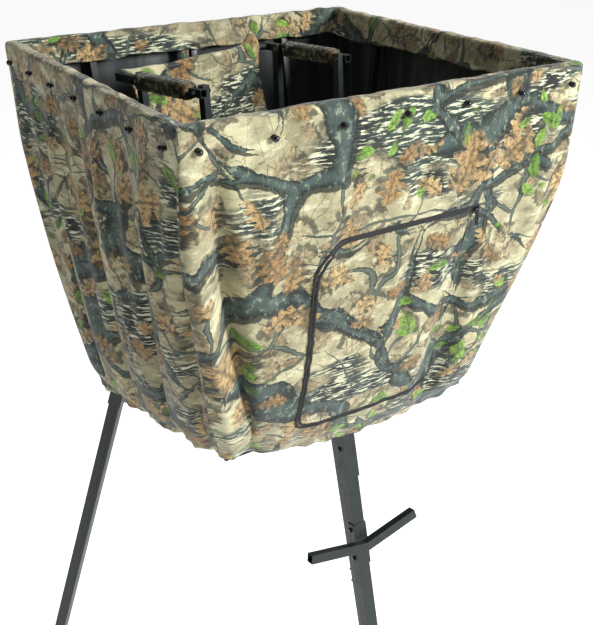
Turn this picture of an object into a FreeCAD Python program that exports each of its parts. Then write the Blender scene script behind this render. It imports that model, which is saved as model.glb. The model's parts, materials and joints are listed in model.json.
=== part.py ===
import FreeCAD, Part
import math
import os
from FreeCAD import Matrix, Placement, Vector

# Three-legged hunting tower: a railed deck on a tripod, a V-step ladder leg, a swivel sling seat
# and a camouflage cloth blind with a zipped door. Millimetres, +Z up, ground at Z = 0.
# Plan positions below are measured from the centre of the top rail; the finished parts are moved
# along Y at the end so that the middle of the feet's footprint is the origin.

os.makedirs("parts", exist_ok=True)

# ---- overall sizes -------------------------------------------------------------------------
DECK_TOP = 3050.0
RAIL_TOP_ABOVE_DECK = 882.0
RAIL_HALF_X = 500.0
RAIL_HALF_Y = 514.0
DECK_HALF_X = 345.0
DECK_FRONT_Y = -240.0
DECK_BACK_Y = 428.0

# ---- stock ---------------------------------------------------------------------------------
LEG_TUBE = 35.0
LEG_WALL = 1.5
DECK_TUBE = 25.0
RAIL_TUBE = 25.0
POST_TUBE = 19.0
SEAT_TUBE = 19.0
STEP_TUBE = 25.0
THIN_WALL = 1.5
SLAT_THICK = 3.0
SLAT_WIDTH = 22.0
SLAT_GAP = 24.0
LEG_TOP_GAP = 3.0
CLOTH = 2.0
SLIDE_FIT = 0.3
SOFT_GAP = 0.3

# ---- tripod --------------------------------------------------------------------------------
LADDER_SLOPE = 0.189
LADDER_Y_AT_DECK = -230.0
REAR_SLOPE = 0.36
REAR_RADIUS_AT_DECK = 471.0
REAR_FAN_ANGLE = 46.5
LEG_CENTRE_Y = 75.5
SOCKET_LENGTH = 170.0
SOCKET_WALL = 2.5
REAR_JOINT_Z = 1280.0
LADDER_JOINT_STEP = 3
LADDER_JOINT_BELOW_STEP = 210.0
SLEEVE_HALF = 110.0
FOOT_RADIUS = 55.0
FOOT_THICK = 5.0
FOOT_STUB = 60.0
STAKE_HOLE_R = 6.5
STAKE_HOLE_OFFSET = 40.0
FOOT_STUB_BELOW = 30.0
LEG_SPARE = 80.0
TRIM_BLOCK = 400.0
HOLE_SPARE = 20.0

# ---- bolts ---------------------------------------------------------------------------------
BOLT_R = 4.0
BOLT_HOLE_R = 4.3
HEAD_FLATS = 13.0
HEAD_THICK = 5.3
NUT_THICK = 6.5
THREAD_PAST_NUT = 3.0
NUT_BORE_R = 4.1

# ---- steps ---------------------------------------------------------------------------------
STEP_COUNT = 6
FIRST_STEP_BELOW_DECK = 400.0
STEP_PITCH = 430.0
STEP_HALF_SPAN = 172.0
STEP_RISE = 36.0
BRACKET_WALL = 2.5
BRACKET_HEIGHT = 130.0
BRACKET_DEPTH = 30.0
BRACKET_FIT = 0.2
STEP_BOLT_OFFSET = 45.0
WING_ROOT_SHARE = 0.2
WING_OPEN_SHARE = 0.05

# ---- rail posts ------------------------------------------------------------------------------
BACK_POSTS_X = (-290.0, 0.0, 290.0)
FRONT_POSTS_X = (-310.0, 310.0)
SIDE_POSTS_Y = (-190.0, 240.0)
SIDE_POST_SPREAD = 1.15
POST_SPARE_SHARE = 0.06

# ---- seat, measured from the swivel axis ----------------------------------------------------
SWIVEL_Y = 98.5
SEAT_YAW = 16.6
ARM_SPACING = 510.0
ARM_HEIGHT = 820.0
ARM_REAR = -235.0
ARM_FRONT = 70.0
PAD_REAR = -158.0
PAD_FRONT = 32.0
PAD_SIZE = 38.0
PAD_ROUND = 12.0
REAR_POST = -172.0
FRONT_POST = 50.0
POST_OVER_ARM = 3.0
SIDE_RAIL_HEIGHT = 490.0
SIDE_RAIL_FRONT = 160.0
SIDE_RAIL_REAR = -190.0
CROSS_TUBE_AT = 55.0
SLING_ROD_R = 8.0
FRONT_ROD_HEIGHT = 530.0
EAR_OVER_ROD = 14.0
SLING_POST_GAP = 4.5
SLING_THICK = 2.5
SLING_SEAT_HEIGHT = 528.0
SLING_LINE = ((34.0, 110.0), (96.0, 12.0), (170.0, -6.0))
SLING_FRONT_FLAT = 90.0
SLING_FRONT_LEAD = 20.0
SLING_FRONT_FALL = 1.0
SLING_END_FALL = 0.5
PLUG_LENGTH = 12.0
PLUG_FIT = 0.1
SWIVEL_PLATE = 150.0
SWIVEL_PLATE_THICK = 5.0
BEARING_R = 42.0
BEARING_HEIGHT = 20.0
SPINDLE_R = 12.0
SPINDLE_FIT = 0.05
SWIVEL_GAP = 0.3
PEDESTAL_TUBE = 45.0
PEDESTAL_WALL = 2.5
BASE_PLATE = 180.0
BASE_PLATE_THICK = 6.0
GUSSET_THICK = 3.0
GUSSET_SETBACK = 5.0

# ---- cloth blind ----------------------------------------------------------------------------
BULGE_ABOVE_DECK = 610.0
BULGE_PAST_RAIL = 6.0
BULGE_SHORT_OF_FRONT_RAIL = 34.0
HEM_BELOW_DECK = 90.0
HEM_PAST_DECK_SIDE_FRONT = 27.0
HEM_PAST_DECK_SIDE_BACK = 57.0
HEM_PAST_DECK_FRONT = 34.0
HEM_PAST_DECK_BACK = 64.0
FLAP_LENGTH = 100.0
FLAP_POST_GAP = 3.0

# ---- zipped door ----------------------------------------------------------------------------
DOOR_LEFT = -200.0
DOOR_HINGE = 215.0
DOOR_BOTTOM_ABOVE_DECK = 60.0
DOOR_TOP_ABOVE_DECK = 580.0
DOOR_ROUND_TOP = 90.0
DOOR_ROUND_BOTTOM = 45.0
DOOR_GAP = 0.8
HINGE_GAP = 3.0
COIL_WIDTH = 4.0
COIL_THICK = 1.2
COIL_RUN_OUT = 28.0
SLIDER_LENGTH = 16.0
SLIDER_WIDTH = 11.0
SLIDER_THICK = 3.0
BRIDGE_THICK = 2.0
BRIDGE_PIN_R = 1.2
PULL_FIT = 0.1
PULL_LENGTH = 38.0
PULL_WIDTH = 9.0
PULL_THICK = 2.0
SLIDER_CLEAR_OF_HINGE = 4.0
CHEEK_SINK = 0.5
CHEEK_OVER_PIN = 0.6
CHEEK_SPARE = 2.0

# ---- bungees --------------------------------------------------------------------------------
BUNGEES_PER_SIDE = 7
BUNGEE_PITCH = 154.0
BUNGEE_DROP = 42.0
BALL_R = 7.0
CORD_R = 1.5
CORD_HOLE_R = 1.9
KNOT_R = 2.4
KNOT_THICK = 2.5
GROMMET_R = 6.0
GROMMET_THICK = 1.0

# ---- values that follow ---------------------------------------------------------------------
RAIL_TOP = DECK_TOP + RAIL_TOP_ABOVE_DECK
RAIL_SKIN = CLOTH + SOFT_GAP
RAIL_Z = RAIL_TOP - RAIL_SKIN - RAIL_TUBE / 2
RAIL_X = RAIL_HALF_X - RAIL_SKIN - RAIL_TUBE / 2
RAIL_Y = RAIL_HALF_Y - RAIL_SKIN - RAIL_TUBE / 2
FRAME_TOP = DECK_TOP - SLAT_THICK
FRAME_Z = FRAME_TOP - DECK_TUBE / 2
FRAME_UNDER = FRAME_TOP - DECK_TUBE
FRAME_X = DECK_HALF_X - DECK_TUBE / 2
FRAME_FRONT = DECK_FRONT_Y + DECK_TUBE / 2
FRAME_BACK = DECK_BACK_Y - DECK_TUBE / 2
X_AXIS = Vector(1, 0, 0)
Y_AXIS = Vector(0, 1, 0)
Z_AXIS = Vector(0, 0, 1)
REACH = 6000.0

parts = {}


def frame_at(origin, x_dir, z_dir):
    """Placement with local Z along z_dir and local X as near x_dir as it can be."""
    z = Vector(z_dir).normalize()
    x = Vector(x_dir) - z * z.dot(x_dir)
    x.normalize()
    y = z.cross(x)
    return Placement(Matrix(x.x, y.x, z.x, origin.x, x.y, y.y, z.y, origin.y,
                            x.z, y.z, z.z, origin.z, 0, 0, 0, 1))


def bar(start, end, width, height, side):
    """Solid square bar from start to end; width lies along side."""
    length = (end - start).Length
    solid = Part.makeBox(width, height, length, Vector(-width / 2, -height / 2, 0))
    solid.Placement = frame_at(start, side, end - start)
    return solid


def tube(start, end, size, wall, side):
    """Square tube from start to end, open at both ends."""
    inner = size - 2 * wall
    return bar(start, end, size, size, side).cut(bar(start, end, inner, inner, side))


def between(low_z, high_z):
    """Wide block that keeps what lies between two heights."""
    return Part.makeBox(2 * REACH, 2 * REACH, high_z - low_z, Vector(-REACH, -REACH, low_z))


def rod(start, end, radius):
    return Part.makeCylinder(radius, (end - start).Length, start, end - start)


def hexagon(start, axis, flats, thickness, side):
    """Hexagonal prism standing on start along axis."""
    corner = flats / math.sqrt(3)
    ring = [Vector(corner * math.cos(math.radians(60 * k)), corner * math.sin(math.radians(60 * k)), 0)
            for k in range(7)]
    solid = Part.Face(Part.makePolygon(ring)).extrude(Vector(0, 0, thickness))
    solid.Placement = frame_at(start, side, axis)
    return solid


def bolt_and_nut(centre, axis, grip, side):
    """Hex bolt and nut clamping a stack of thickness grip centred on centre."""
    axis = Vector(axis).normalize()
    head_face = centre - axis * (grip / 2)
    nut_face = centre + axis * (grip / 2)
    shank = rod(head_face, nut_face + axis * (NUT_THICK + THREAD_PAST_NUT), BOLT_R)
    head = hexagon(head_face - axis * HEAD_THICK, axis, HEAD_FLATS, HEAD_THICK, side)
    nut = hexagon(nut_face, axis, HEAD_FLATS, NUT_THICK, side)
    nut = nut.cut(rod(nut_face - axis, nut_face + axis * (NUT_THICK + 1), NUT_BORE_R))
    return [head.fuse(shank), nut]


def bolt_hole(centre, axis, length):
    axis = Vector(axis).normalize()
    return rod(centre - axis * (length / 2), centre + axis * (length / 2), BOLT_HOLE_R)


# ---- legs -----------------------------------------------------------------------------------
def leg_line(name):
    """Point on the leg's axis at deck height, outward plan direction and slope."""
    if name == "ladder":
        return Vector(0, LADDER_Y_AT_DECK, DECK_TOP), Vector(0, -1, 0), LADDER_SLOPE
    sign = -1 if name == "left" else 1
    angle = math.radians(REAR_FAN_ANGLE)
    out = Vector(sign * math.cos(angle), math.sin(angle), 0)
    return Vector(0, LEG_CENTRE_Y, DECK_TOP) + out * REAR_RADIUS_AT_DECK, out, REAR_SLOPE


def leg_point(name, height):
    top, out, slope = leg_line(name)
    return top + out * (slope * (DECK_TOP - height)) + Vector(0, 0, height - DECK_TOP)


def leg_down(name):
    return (leg_point(name, 0) - leg_point(name, DECK_TOP)).normalize()


def leg_side(name):
    return Z_AXIS.cross(leg_line(name)[1])


LADDER_JOINT_Z = (DECK_TOP - FIRST_STEP_BELOW_DECK - LADDER_JOINT_STEP * STEP_PITCH
                  - LADDER_JOINT_BELOW_STEP)


def joint_point(name):
    return leg_point(name, LADDER_JOINT_Z if name == "ladder" else REAR_JOINT_Z)


LEGS = ("ladder", "left", "right")
SOCKET_INNER = LEG_TUBE + 2 * SLIDE_FIT
SOCKET_OUTER = SOCKET_INNER + 2 * SOCKET_WALL
SLEEVE_TUBE = LEG_TUBE - 2 * LEG_WALL - 2 * SLIDE_FIT
SOCKET_BOLT_Z = FRAME_UNDER - SOCKET_LENGTH / 2
LEG_TOP_Z = FRAME_UNDER - LEG_TOP_GAP


def step_height(index):
    return DECK_TOP - FIRST_STEP_BELOW_DECK - index * STEP_PITCH


def leg_bolts(name):
    """Centres and grips of the bolts that cross this leg."""
    side = leg_side(name)
    down = leg_down(name)
    joint = joint_point(name)
    found = [(leg_point(name, SOCKET_BOLT_Z), side, SOCKET_OUTER)]
    for way in (-1, 1):
        found.append((joint + down * (way * SLEEVE_HALF / 2), side, LEG_TUBE))
    return found


def step_bolts(index):
    centre = leg_point("ladder", step_height(index))
    down = leg_down("ladder")
    grip = LEG_TUBE + 2 * (BRACKET_FIT + BRACKET_WALL)
    return [(centre + down * (way * STEP_BOLT_OFFSET), X_AXIS, grip) for way in (-1, 1)]


def make_leg(name):
    side = leg_side(name)
    beyond = leg_down(name) * -LEG_SPARE
    holes = [bolt_hole(c, a, g + HOLE_SPARE) for c, a, g in leg_bolts(name)]
    if name == "ladder":
        for index in range(STEP_COUNT):
            holes += [bolt_hole(c, a, g + HOLE_SPARE) for c, a, g in step_bolts(index)]
    cutter = Part.makeCompound(holes)
    whole = tube(leg_point(name, DECK_TOP) + beyond, leg_point(name, -LEG_SPARE), LEG_TUBE, LEG_WALL, side)
    joint = joint_point(name)
    down = leg_down(name)
    upper_end = bar(joint, joint + down * REACH, TRIM_BLOCK, TRIM_BLOCK, side)
    lower_end = bar(joint - down * REACH, joint, TRIM_BLOCK, TRIM_BLOCK, side)
    parts["leg_%s_upper" % name] = whole.common(between(0, LEG_TOP_Z)).cut(upper_end).cut(cutter)
    parts["leg_%s_lower" % name] = whole.common(between(FOOT_THICK, DECK_TOP)).cut(lower_end).cut(cutter)
    sleeve = tube(joint - down * SLEEVE_HALF, joint + down * SLEEVE_HALF, SLEEVE_TUBE, LEG_WALL, side)
    socket_start = leg_point(name, FRAME_UNDER) + beyond
    socket_end = leg_point(name, FRAME_UNDER - SOCKET_LENGTH)
    socket = tube(socket_start, socket_end, SOCKET_OUTER, SOCKET_WALL, side)
    parts["leg_socket_%s" % name] = socket.common(between(0, FRAME_UNDER)).cut(cutter)
    return sleeve.cut(cutter)


def make_foot(name):
    """Round plate with a stake hole and a stub that the leg slides over."""
    centre = leg_point(name, 0)
    out = leg_line(name)[1]
    plate = Part.makeCylinder(FOOT_RADIUS, FOOT_THICK, centre, Z_AXIS)
    stub = bar(leg_point(name, -FOOT_STUB_BELOW), leg_point(name, FOOT_STUB), SLEEVE_TUBE, SLEEVE_TUBE,
               leg_side(name))
    stub = stub.common(between(FOOT_THICK / 2, DECK_TOP))
    hole = Part.makeCylinder(STAKE_HOLE_R, 3 * FOOT_THICK, centre + out * STAKE_HOLE_OFFSET
                             - Vector(0, 0, FOOT_THICK), Z_AXIS)
    parts["foot_%s" % name] = plate.fuse(stub).cut(hole).removeSplitter()


def make_tripod():
    sleeves = [make_leg(name) for name in LEGS]
    parts["leg_joint_sleeves"] = Part.makeCompound(sleeves)
    bolts = []
    for name in LEGS:
        make_foot(name)
        for centre, axis, grip in leg_bolts(name):
            bolts += bolt_and_nut(centre, axis, grip, leg_down(name))
    parts["leg_bolts"] = Part.makeCompound(bolts)


# ---- steps ----------------------------------------------------------------------------------
def make_step(index):
    """Shallow V of square tube welded to a channel that wraps the ladder leg."""
    centre = leg_point("ladder", step_height(index))
    up = leg_down("ladder") * -1
    front = up.cross(X_AXIS) * -1
    inner = LEG_TUBE + 2 * BRACKET_FIT
    outer = inner + 2 * BRACKET_WALL
    low = centre - up * (BRACKET_HEIGHT / 2)
    high = centre + up * (BRACKET_HEIGHT / 2)
    shell = bar(low, high, outer, outer, X_AXIS).cut(bar(low - up, high + up, inner, inner, X_AXIS))
    open_back = centre - front * (BRACKET_DEPTH - outer / 2 + outer)
    shell = shell.cut(bar(open_back - up * BRACKET_HEIGHT, open_back + up * BRACKET_HEIGHT,
                          2 * outer, 2 * outer, X_AXIS))
    middle = centre + front * (outer / 2 + STEP_TUBE / 2)
    wings_out = []
    wings_in = []
    for sign in (-1, 1):
        run = X_AXIS * (sign * STEP_HALF_SPAN) + up * STEP_RISE
        tip = middle + run
        root = middle - run * WING_ROOT_SHARE
        keep = Part.makeBox(REACH, REACH, REACH, Vector(0 if sign > 0 else -REACH, -REACH / 2, 0))
        wings_out.append(bar(root, tip, STEP_TUBE, STEP_TUBE, front).common(keep))
        hollow = STEP_TUBE - 2 * THIN_WALL
        wings_in.append(bar(root, tip + run * WING_OPEN_SHARE, hollow, hollow, front).common(keep))
    vee = wings_out[0].fuse(wings_out[1]).cut(wings_in[0].fuse(wings_in[1]))
    holes = [bolt_hole(c, a, g + HOLE_SPARE) for c, a, g in step_bolts(index)]
    parts["step_%d" % (index + 1)] = shell.cut(Part.makeCompound(holes)).fuse(vee).removeSplitter()


def make_steps():
    bolts = []
    for index in range(STEP_COUNT):
        make_step(index)
        for centre, axis, grip in step_bolts(index):
            bolts += bolt_and_nut(centre, axis, grip, leg_down("ladder"))
    parts["step_bolts"] = Part.makeCompound(bolts)


# ---- deck -----------------------------------------------------------------------------------
def make_deck():
    for name, sign in (("left", -1), ("right", 1)):
        x = sign * FRAME_X
        parts["deck_tube_%s" % name] = tube(Vector(x, DECK_FRONT_Y, FRAME_Z), Vector(x, DECK_BACK_Y, FRAME_Z),
                                            DECK_TUBE, THIN_WALL, X_AXIS)
    inside = FRAME_X - DECK_TUBE / 2
    for name, y in (("front", FRAME_FRONT), ("back", FRAME_BACK)):
        parts["deck_tube_%s" % name] = tube(Vector(-inside, y, FRAME_Z), Vector(inside, y, FRAME_Z),
                                            DECK_TUBE, THIN_WALL, Y_AXIS)
    half = DECK_TUBE / 2
    spine = tube(Vector(0, FRAME_FRONT + half, FRAME_Z), Vector(0, FRAME_BACK - half, FRAME_Z),
                 DECK_TUBE, THIN_WALL, X_AXIS)
    joists = [spine]
    for sign in (-1, 1):
        joists.append(tube(Vector(sign * half, SWIVEL_Y, FRAME_Z), Vector(sign * inside, SWIVEL_Y, FRAME_Z),
                           DECK_TUBE, THIN_WALL, Y_AXIS))
    parts["deck_joists"] = Part.makeCompound(joists)
    depth = DECK_BACK_Y - DECK_FRONT_Y
    count = int((depth - SLAT_WIDTH) // (SLAT_WIDTH + SLAT_GAP)) + 1
    pitch = (depth - SLAT_WIDTH) / (count - 1)
    slats = [Part.makeBox(2 * DECK_HALF_X, SLAT_WIDTH, SLAT_THICK,
                          Vector(-DECK_HALF_X, DECK_FRONT_Y + k * pitch, FRAME_TOP)) for k in range(count)]
    parts["deck_slats"] = Part.makeCompound(slats)


# ---- rail -----------------------------------------------------------------------------------
def post(foot_x, foot_y, head_x, head_y, side):
    """Leaning square tube between the slats' top and the rail's underside, cut level at both ends."""
    low = Vector(foot_x, foot_y, DECK_TOP)
    high = Vector(head_x, head_y, RAIL_Z - RAIL_TUBE / 2)
    lean = (high - low) * POST_SPARE_SHARE
    whole = tube(low - lean, high + lean, POST_TUBE, THIN_WALL, side)
    return whole.common(between(low.z, high.z))


def make_rail():
    half = RAIL_TUBE / 2
    for name, sign in (("left", -1), ("right", 1)):
        x = sign * RAIL_X
        parts["rail_%s" % name] = tube(Vector(x, -RAIL_Y - half, RAIL_Z), Vector(x, RAIL_Y + half, RAIL_Z),
                                       RAIL_TUBE, THIN_WALL, X_AXIS)
        posts = [post(sign * FRAME_X, y, x, y * SIDE_POST_SPREAD, X_AXIS) for y in SIDE_POSTS_Y]
        parts["rail_posts_%s" % name] = Part.makeCompound(posts)
    inside = RAIL_X - half
    for name, sign, foot_y, xs in (("front", -1, FRAME_FRONT, FRONT_POSTS_X),
                                   ("back", 1, FRAME_BACK, BACK_POSTS_X)):
        y = sign * RAIL_Y
        parts["rail_%s" % name] = tube(Vector(-inside, y, RAIL_Z), Vector(inside, y, RAIL_Z),
                                       RAIL_TUBE, THIN_WALL, Y_AXIS)
        posts = [post(x, foot_y, x, y, Y_AXIS) for x in xs]
        parts["rail_posts_%s" % name] = Part.makeCompound(posts)


# ---- swivel seat ----------------------------------------------------------------------------
YAW = math.radians(SEAT_YAW)
SEAT_FORWARD = Vector(math.sin(YAW), -math.cos(YAW), 0)
SEAT_RIGHT = Vector(math.cos(YAW), math.sin(YAW), 0)
ARM_SIDE = ARM_SPACING / 2
POST_SIDE = ARM_SIDE - SEAT_TUBE
SLING_HALF_WIDTH = POST_SIDE - SEAT_TUBE / 2 - SLING_POST_GAP
CROSS_Z = SIDE_RAIL_HEIGHT
PLATE_TOP = CROSS_Z - SEAT_TUBE / 2
PLATE_UNDER = PLATE_TOP - SWIVEL_PLATE_THICK
BEARING_TOP = PLATE_UNDER - SWIVEL_GAP
BEARING_UNDER = BEARING_TOP - BEARING_HEIGHT


def seat(right, forward, height):
    """Point in the seat's own axes: right, forward and height above the deck."""
    base = Vector(0, SWIVEL_Y, DECK_TOP + height)
    return base + SEAT_RIGHT * right + SEAT_FORWARD * forward


def seat_tube(start, end, side):
    return tube(seat(*start), seat(*end), SEAT_TUBE, THIN_WALL, side)


def make_seat_side(name, sign):
    at = sign * POST_SIDE
    half = SEAT_TUBE / 2
    top = ARM_HEIGHT + half + POST_OVER_ARM
    bottom_rail = seat_tube((at, SIDE_RAIL_REAR, SIDE_RAIL_HEIGHT), (at, SIDE_RAIL_FRONT, SIDE_RAIL_HEIGHT),
                            SEAT_RIGHT)
    rear = seat_tube((at, REAR_POST, SIDE_RAIL_HEIGHT + half), (at, REAR_POST, top), SEAT_RIGHT)
    front = seat_tube((at, FRONT_POST, SIDE_RAIL_HEIGHT + half), (at, FRONT_POST, top), SEAT_RIGHT)
    ear_low = seat(at, SIDE_RAIL_FRONT - half, SIDE_RAIL_HEIGHT + half)
    ear_high = seat(at, SIDE_RAIL_FRONT - half, FRONT_ROD_HEIGHT + EAR_OVER_ROD)
    ear = bar(ear_low, ear_high, SEAT_TUBE, SEAT_TUBE, SEAT_RIGHT)
    rod_hole = rod(seat(at - half - 1, SIDE_RAIL_FRONT - half, FRONT_ROD_HEIGHT),
                   seat(at + half + 1, SIDE_RAIL_FRONT - half, FRONT_ROD_HEIGHT), SLING_ROD_R)
    frame = bottom_rail.fuse(rear).fuse(front).fuse(ear.cut(rod_hole))
    holes = [bolt_hole(seat(at, where, ARM_HEIGHT), SEAT_RIGHT, 3 * SEAT_TUBE)
             for where in (REAR_POST, FRONT_POST)]
    parts["seat_side_%s" % name] = frame.cut(Part.makeCompound(holes))
    arm = seat_tube((sign * ARM_SIDE, ARM_REAR, ARM_HEIGHT), (sign * ARM_SIDE, ARM_FRONT, ARM_HEIGHT),
                    SEAT_RIGHT)
    rod_seat = rod(seat(sign * ARM_SIDE - half - 1, ARM_REAR + half, ARM_HEIGHT),
                   seat(sign * ARM_SIDE + half + 1, ARM_REAR + half, ARM_HEIGHT), SLING_ROD_R)
    parts["arm_tube_%s" % name] = arm.cut(Part.makeCompound(holes)).cut(rod_seat)
    pad_half = PAD_SIZE / 2
    pad = Part.makeBox(PAD_SIZE, PAD_SIZE, PAD_FRONT - PAD_REAR, Vector(-pad_half, -pad_half, 0))
    long_edges = [e for e in pad.Edges if abs(e.Vertexes[0].Z - e.Vertexes[1].Z) > PAD_SIZE]
    pad = pad.makeFillet(PAD_ROUND, long_edges)
    pad.Placement = frame_at(seat(sign * ARM_SIDE, PAD_REAR, ARM_HEIGHT), SEAT_RIGHT, SEAT_FORWARD)
    bore_size = SEAT_TUBE + 2 * SOFT_GAP
    bore = bar(seat(sign * ARM_SIDE, PAD_REAR - 1, ARM_HEIGHT),
               seat(sign * ARM_SIDE, PAD_FRONT + 1, ARM_HEIGHT), bore_size, bore_size, SEAT_RIGHT)
    parts["arm_pad_%s" % name] = pad.cut(bore)


def make_sling():
    """Cloth band that hangs from the back rod, dips under the sitter and rises to the front rod."""
    rear_at = ARM_REAR + SEAT_TUBE / 2 + SLING_ROD_R + SOFT_GAP
    front_at = SIDE_RAIL_FRONT - SEAT_TUBE / 2
    seat_top = SLING_SEAT_HEIGHT + SLING_THICK
    front_top = FRONT_ROD_HEIGHT + SLING_ROD_R + SOFT_GAP + SLING_THICK
    line = [(rear_at + SLING_THICK, ARM_HEIGHT + SLING_ROD_R)]
    line += [(rear_at + forward, seat_top + height) for forward, height in SLING_LINE]
    line += [(front_at - SLING_FRONT_FLAT, seat_top),
             (front_at - SLING_FRONT_LEAD, front_top - SLING_FRONT_FALL),
             (front_at, front_top), (front_at + SLING_ROD_R, front_top - SLING_END_FALL)]
    under = []
    for index, (forward, height) in enumerate(line):
        before = line[max(index - 1, 0)]
        after = line[min(index + 1, len(line) - 1)]
        run = Vector(after[0] - before[0], 0, after[1] - before[1]).normalize()
        under.append((forward + run.z * SLING_THICK, height - run.x * SLING_THICK))
    curves = []
    for points in (line, under):
        curve = Part.BSplineCurve()
        curve.interpolate([seat(-SLING_HALF_WIDTH, forward, height) for forward, height in points])
        curves.append(curve.toShape())
    ends = [Part.makeLine(seat(-SLING_HALF_WIDTH, *line[k]), seat(-SLING_HALF_WIDTH, *under[k]))
            for k in (0, -1)]
    section = Part.Face(Part.Wire([curves[0], ends[1], curves[1], ends[0]]))
    return section.extrude(SEAT_RIGHT * (2 * SLING_HALF_WIDTH))


def make_seat():
    for name, sign in (("left", -1), ("right", 1)):
        make_seat_side(name, sign)
    inside = POST_SIDE - SEAT_TUBE / 2
    bars = []
    for forward in (-CROSS_TUBE_AT, CROSS_TUBE_AT):
        bars.append(seat_tube((-inside, forward, CROSS_Z), (inside, forward, CROSS_Z), Z_AXIS))
    half = SEAT_TUBE / 2
    back = ARM_SIDE + half + PLUG_FIT
    front = POST_SIDE + half + PLUG_FIT
    for reach, at, height in ((back, ARM_REAR + half, ARM_HEIGHT),
                              (front, SIDE_RAIL_FRONT - half, FRONT_ROD_HEIGHT)):
        bars.append(rod(seat(-reach, at, height), seat(reach, at, height), SLING_ROD_R - PLUG_FIT))
    parts["seat_cross_bars"] = Part.makeCompound(bars)
    bolts = []
    for sign in (-1, 1):
        between_tubes = sign * (ARM_SIDE + POST_SIDE) / 2
        for where in (REAR_POST, FRONT_POST):
            bolts += bolt_and_nut(seat(between_tubes, where, ARM_HEIGHT), SEAT_RIGHT * sign, 2 * SEAT_TUBE,
                                  SEAT_FORWARD)
    parts["arm_bolts"] = Part.makeCompound(bolts)
    plugs = []
    plug_size = SEAT_TUBE - 2 * THIN_WALL - 2 * PLUG_FIT
    top = ARM_HEIGHT + SEAT_TUBE / 2 + POST_OVER_ARM
    for at in (-POST_SIDE, POST_SIDE):
        cap = bar(seat(at, SIDE_RAIL_REAR - THIN_WALL, SIDE_RAIL_HEIGHT),
                  seat(at, SIDE_RAIL_REAR, SIDE_RAIL_HEIGHT), SEAT_TUBE, SEAT_TUBE, SEAT_RIGHT)
        core = bar(seat(at, SIDE_RAIL_REAR, SIDE_RAIL_HEIGHT),
                   seat(at, SIDE_RAIL_REAR + PLUG_LENGTH, SIDE_RAIL_HEIGHT), plug_size, plug_size, SEAT_RIGHT)
        plugs.append(cap.fuse(core))
        for where in (REAR_POST, FRONT_POST):
            plugs.append(bar(seat(at, where, top), seat(at, where, top + THIN_WALL),
                             SEAT_TUBE, SEAT_TUBE, SEAT_RIGHT))
    parts["tube_end_plugs"] = Part.makeCompound(plugs)


def make_swivel():
    half = SWIVEL_PLATE / 2
    plate = bar(seat(0, 0, PLATE_UNDER), seat(0, 0, PLATE_TOP), SWIVEL_PLATE, SWIVEL_PLATE, SEAT_RIGHT)
    spindle = rod(seat(0, 0, BEARING_UNDER), seat(0, 0, PLATE_UNDER + SWIVEL_PLATE_THICK / 2), SPINDLE_R)
    parts["swivel_plate"] = plate.fuse(spindle)
    ring = rod(seat(0, 0, BEARING_UNDER), seat(0, 0, BEARING_TOP), BEARING_R)
    bore = rod(seat(0, 0, BEARING_UNDER - 1), seat(0, 0, BEARING_TOP + 1), SPINDLE_R + SPINDLE_FIT)
    parts["swivel_bearing"] = ring.cut(bore)
    base = Part.makeBox(BASE_PLATE, BASE_PLATE, BASE_PLATE_THICK,
                        Vector(-BASE_PLATE / 2, SWIVEL_Y - BASE_PLATE / 2, DECK_TOP))
    column = tube(Vector(0, SWIVEL_Y, DECK_TOP + BASE_PLATE_THICK),
                  Vector(0, SWIVEL_Y, DECK_TOP + BEARING_UNDER), PEDESTAL_TUBE, PEDESTAL_WALL, X_AXIS)
    gusset_foot = half - GUSSET_SETBACK
    gussets = []
    for direction in (Vector(1, 0, 0), Vector(-1, 0, 0), Vector(0, 1, 0), Vector(0, -1, 0)):
        foot = Vector(0, SWIVEL_Y, DECK_TOP + BASE_PLATE_THICK)
        wall = foot + direction * (PEDESTAL_TUBE / 2)
        corner = [wall, foot + direction * gusset_foot, wall + Vector(0, 0, gusset_foot), wall]
        across = Z_AXIS.cross(direction) * (GUSSET_THICK / 2)
        face = Part.Face(Part.makePolygon([p - across for p in corner]))
        gussets.append(face.extrude(across * 2))
    pedestal = base.fuse(column)
    for gusset in gussets:
        pedestal = pedestal.fuse(gusset)
    parts["swivel_pedestal"] = pedestal


# ---- cloth walls ----------------------------------------------------------------------------
def ring(half_front, half_back, front_y, back_y, height):
    """Corners front left, front right, back right, back left at one height."""
    return [Vector(-half_front, front_y, height), Vector(half_front, front_y, height),
            Vector(half_back, back_y, height), Vector(-half_back, back_y, height)]


def shrink(corners, by, drop=0.0):
    signs = ((1, 1), (-1, 1), (-1, -1), (1, -1))
    return [c + Vector(sx * by, sy * by, -drop) for c, (sx, sy) in zip(corners, signs)]


def patch(a, b, c, d):
    """Flat four-sided face, or two triangles where the four corners don't share a plane."""
    normal = (b - a).cross(c - a)
    if abs(normal.normalize().dot(d - a)) < 1e-6:
        return [Part.Face(Part.makePolygon([a, b, c, d, a]))]
    return [Part.Face(Part.makePolygon([a, b, c, a])), Part.Face(Part.makePolygon([a, c, d, a]))]


def cloth_side(outer, inner, a, b):
    """Closed solid of one wall between corners a and b, mitred where it meets the next wall."""
    faces = patch(outer[0][a], outer[0][b], inner[0][b], inner[0][a])
    faces += patch(outer[-1][a], outer[-1][b], inner[-1][b], inner[-1][a])
    for low_out, high_out, low_in, high_in in zip(outer, outer[1:], inner, inner[1:]):
        faces += patch(low_out[a], low_out[b], high_out[b], high_out[a])
        faces += patch(low_in[a], low_in[b], high_in[b], high_in[a])
        for corner in (a, b):
            faces += patch(low_out[corner], high_out[corner], high_in[corner], low_in[corner])
    shell = Part.Shell(faces)
    shell.sewShape()
    solid = Part.Solid(shell)
    if solid.Volume < 0:
        solid.reverse()
    return solid


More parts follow.
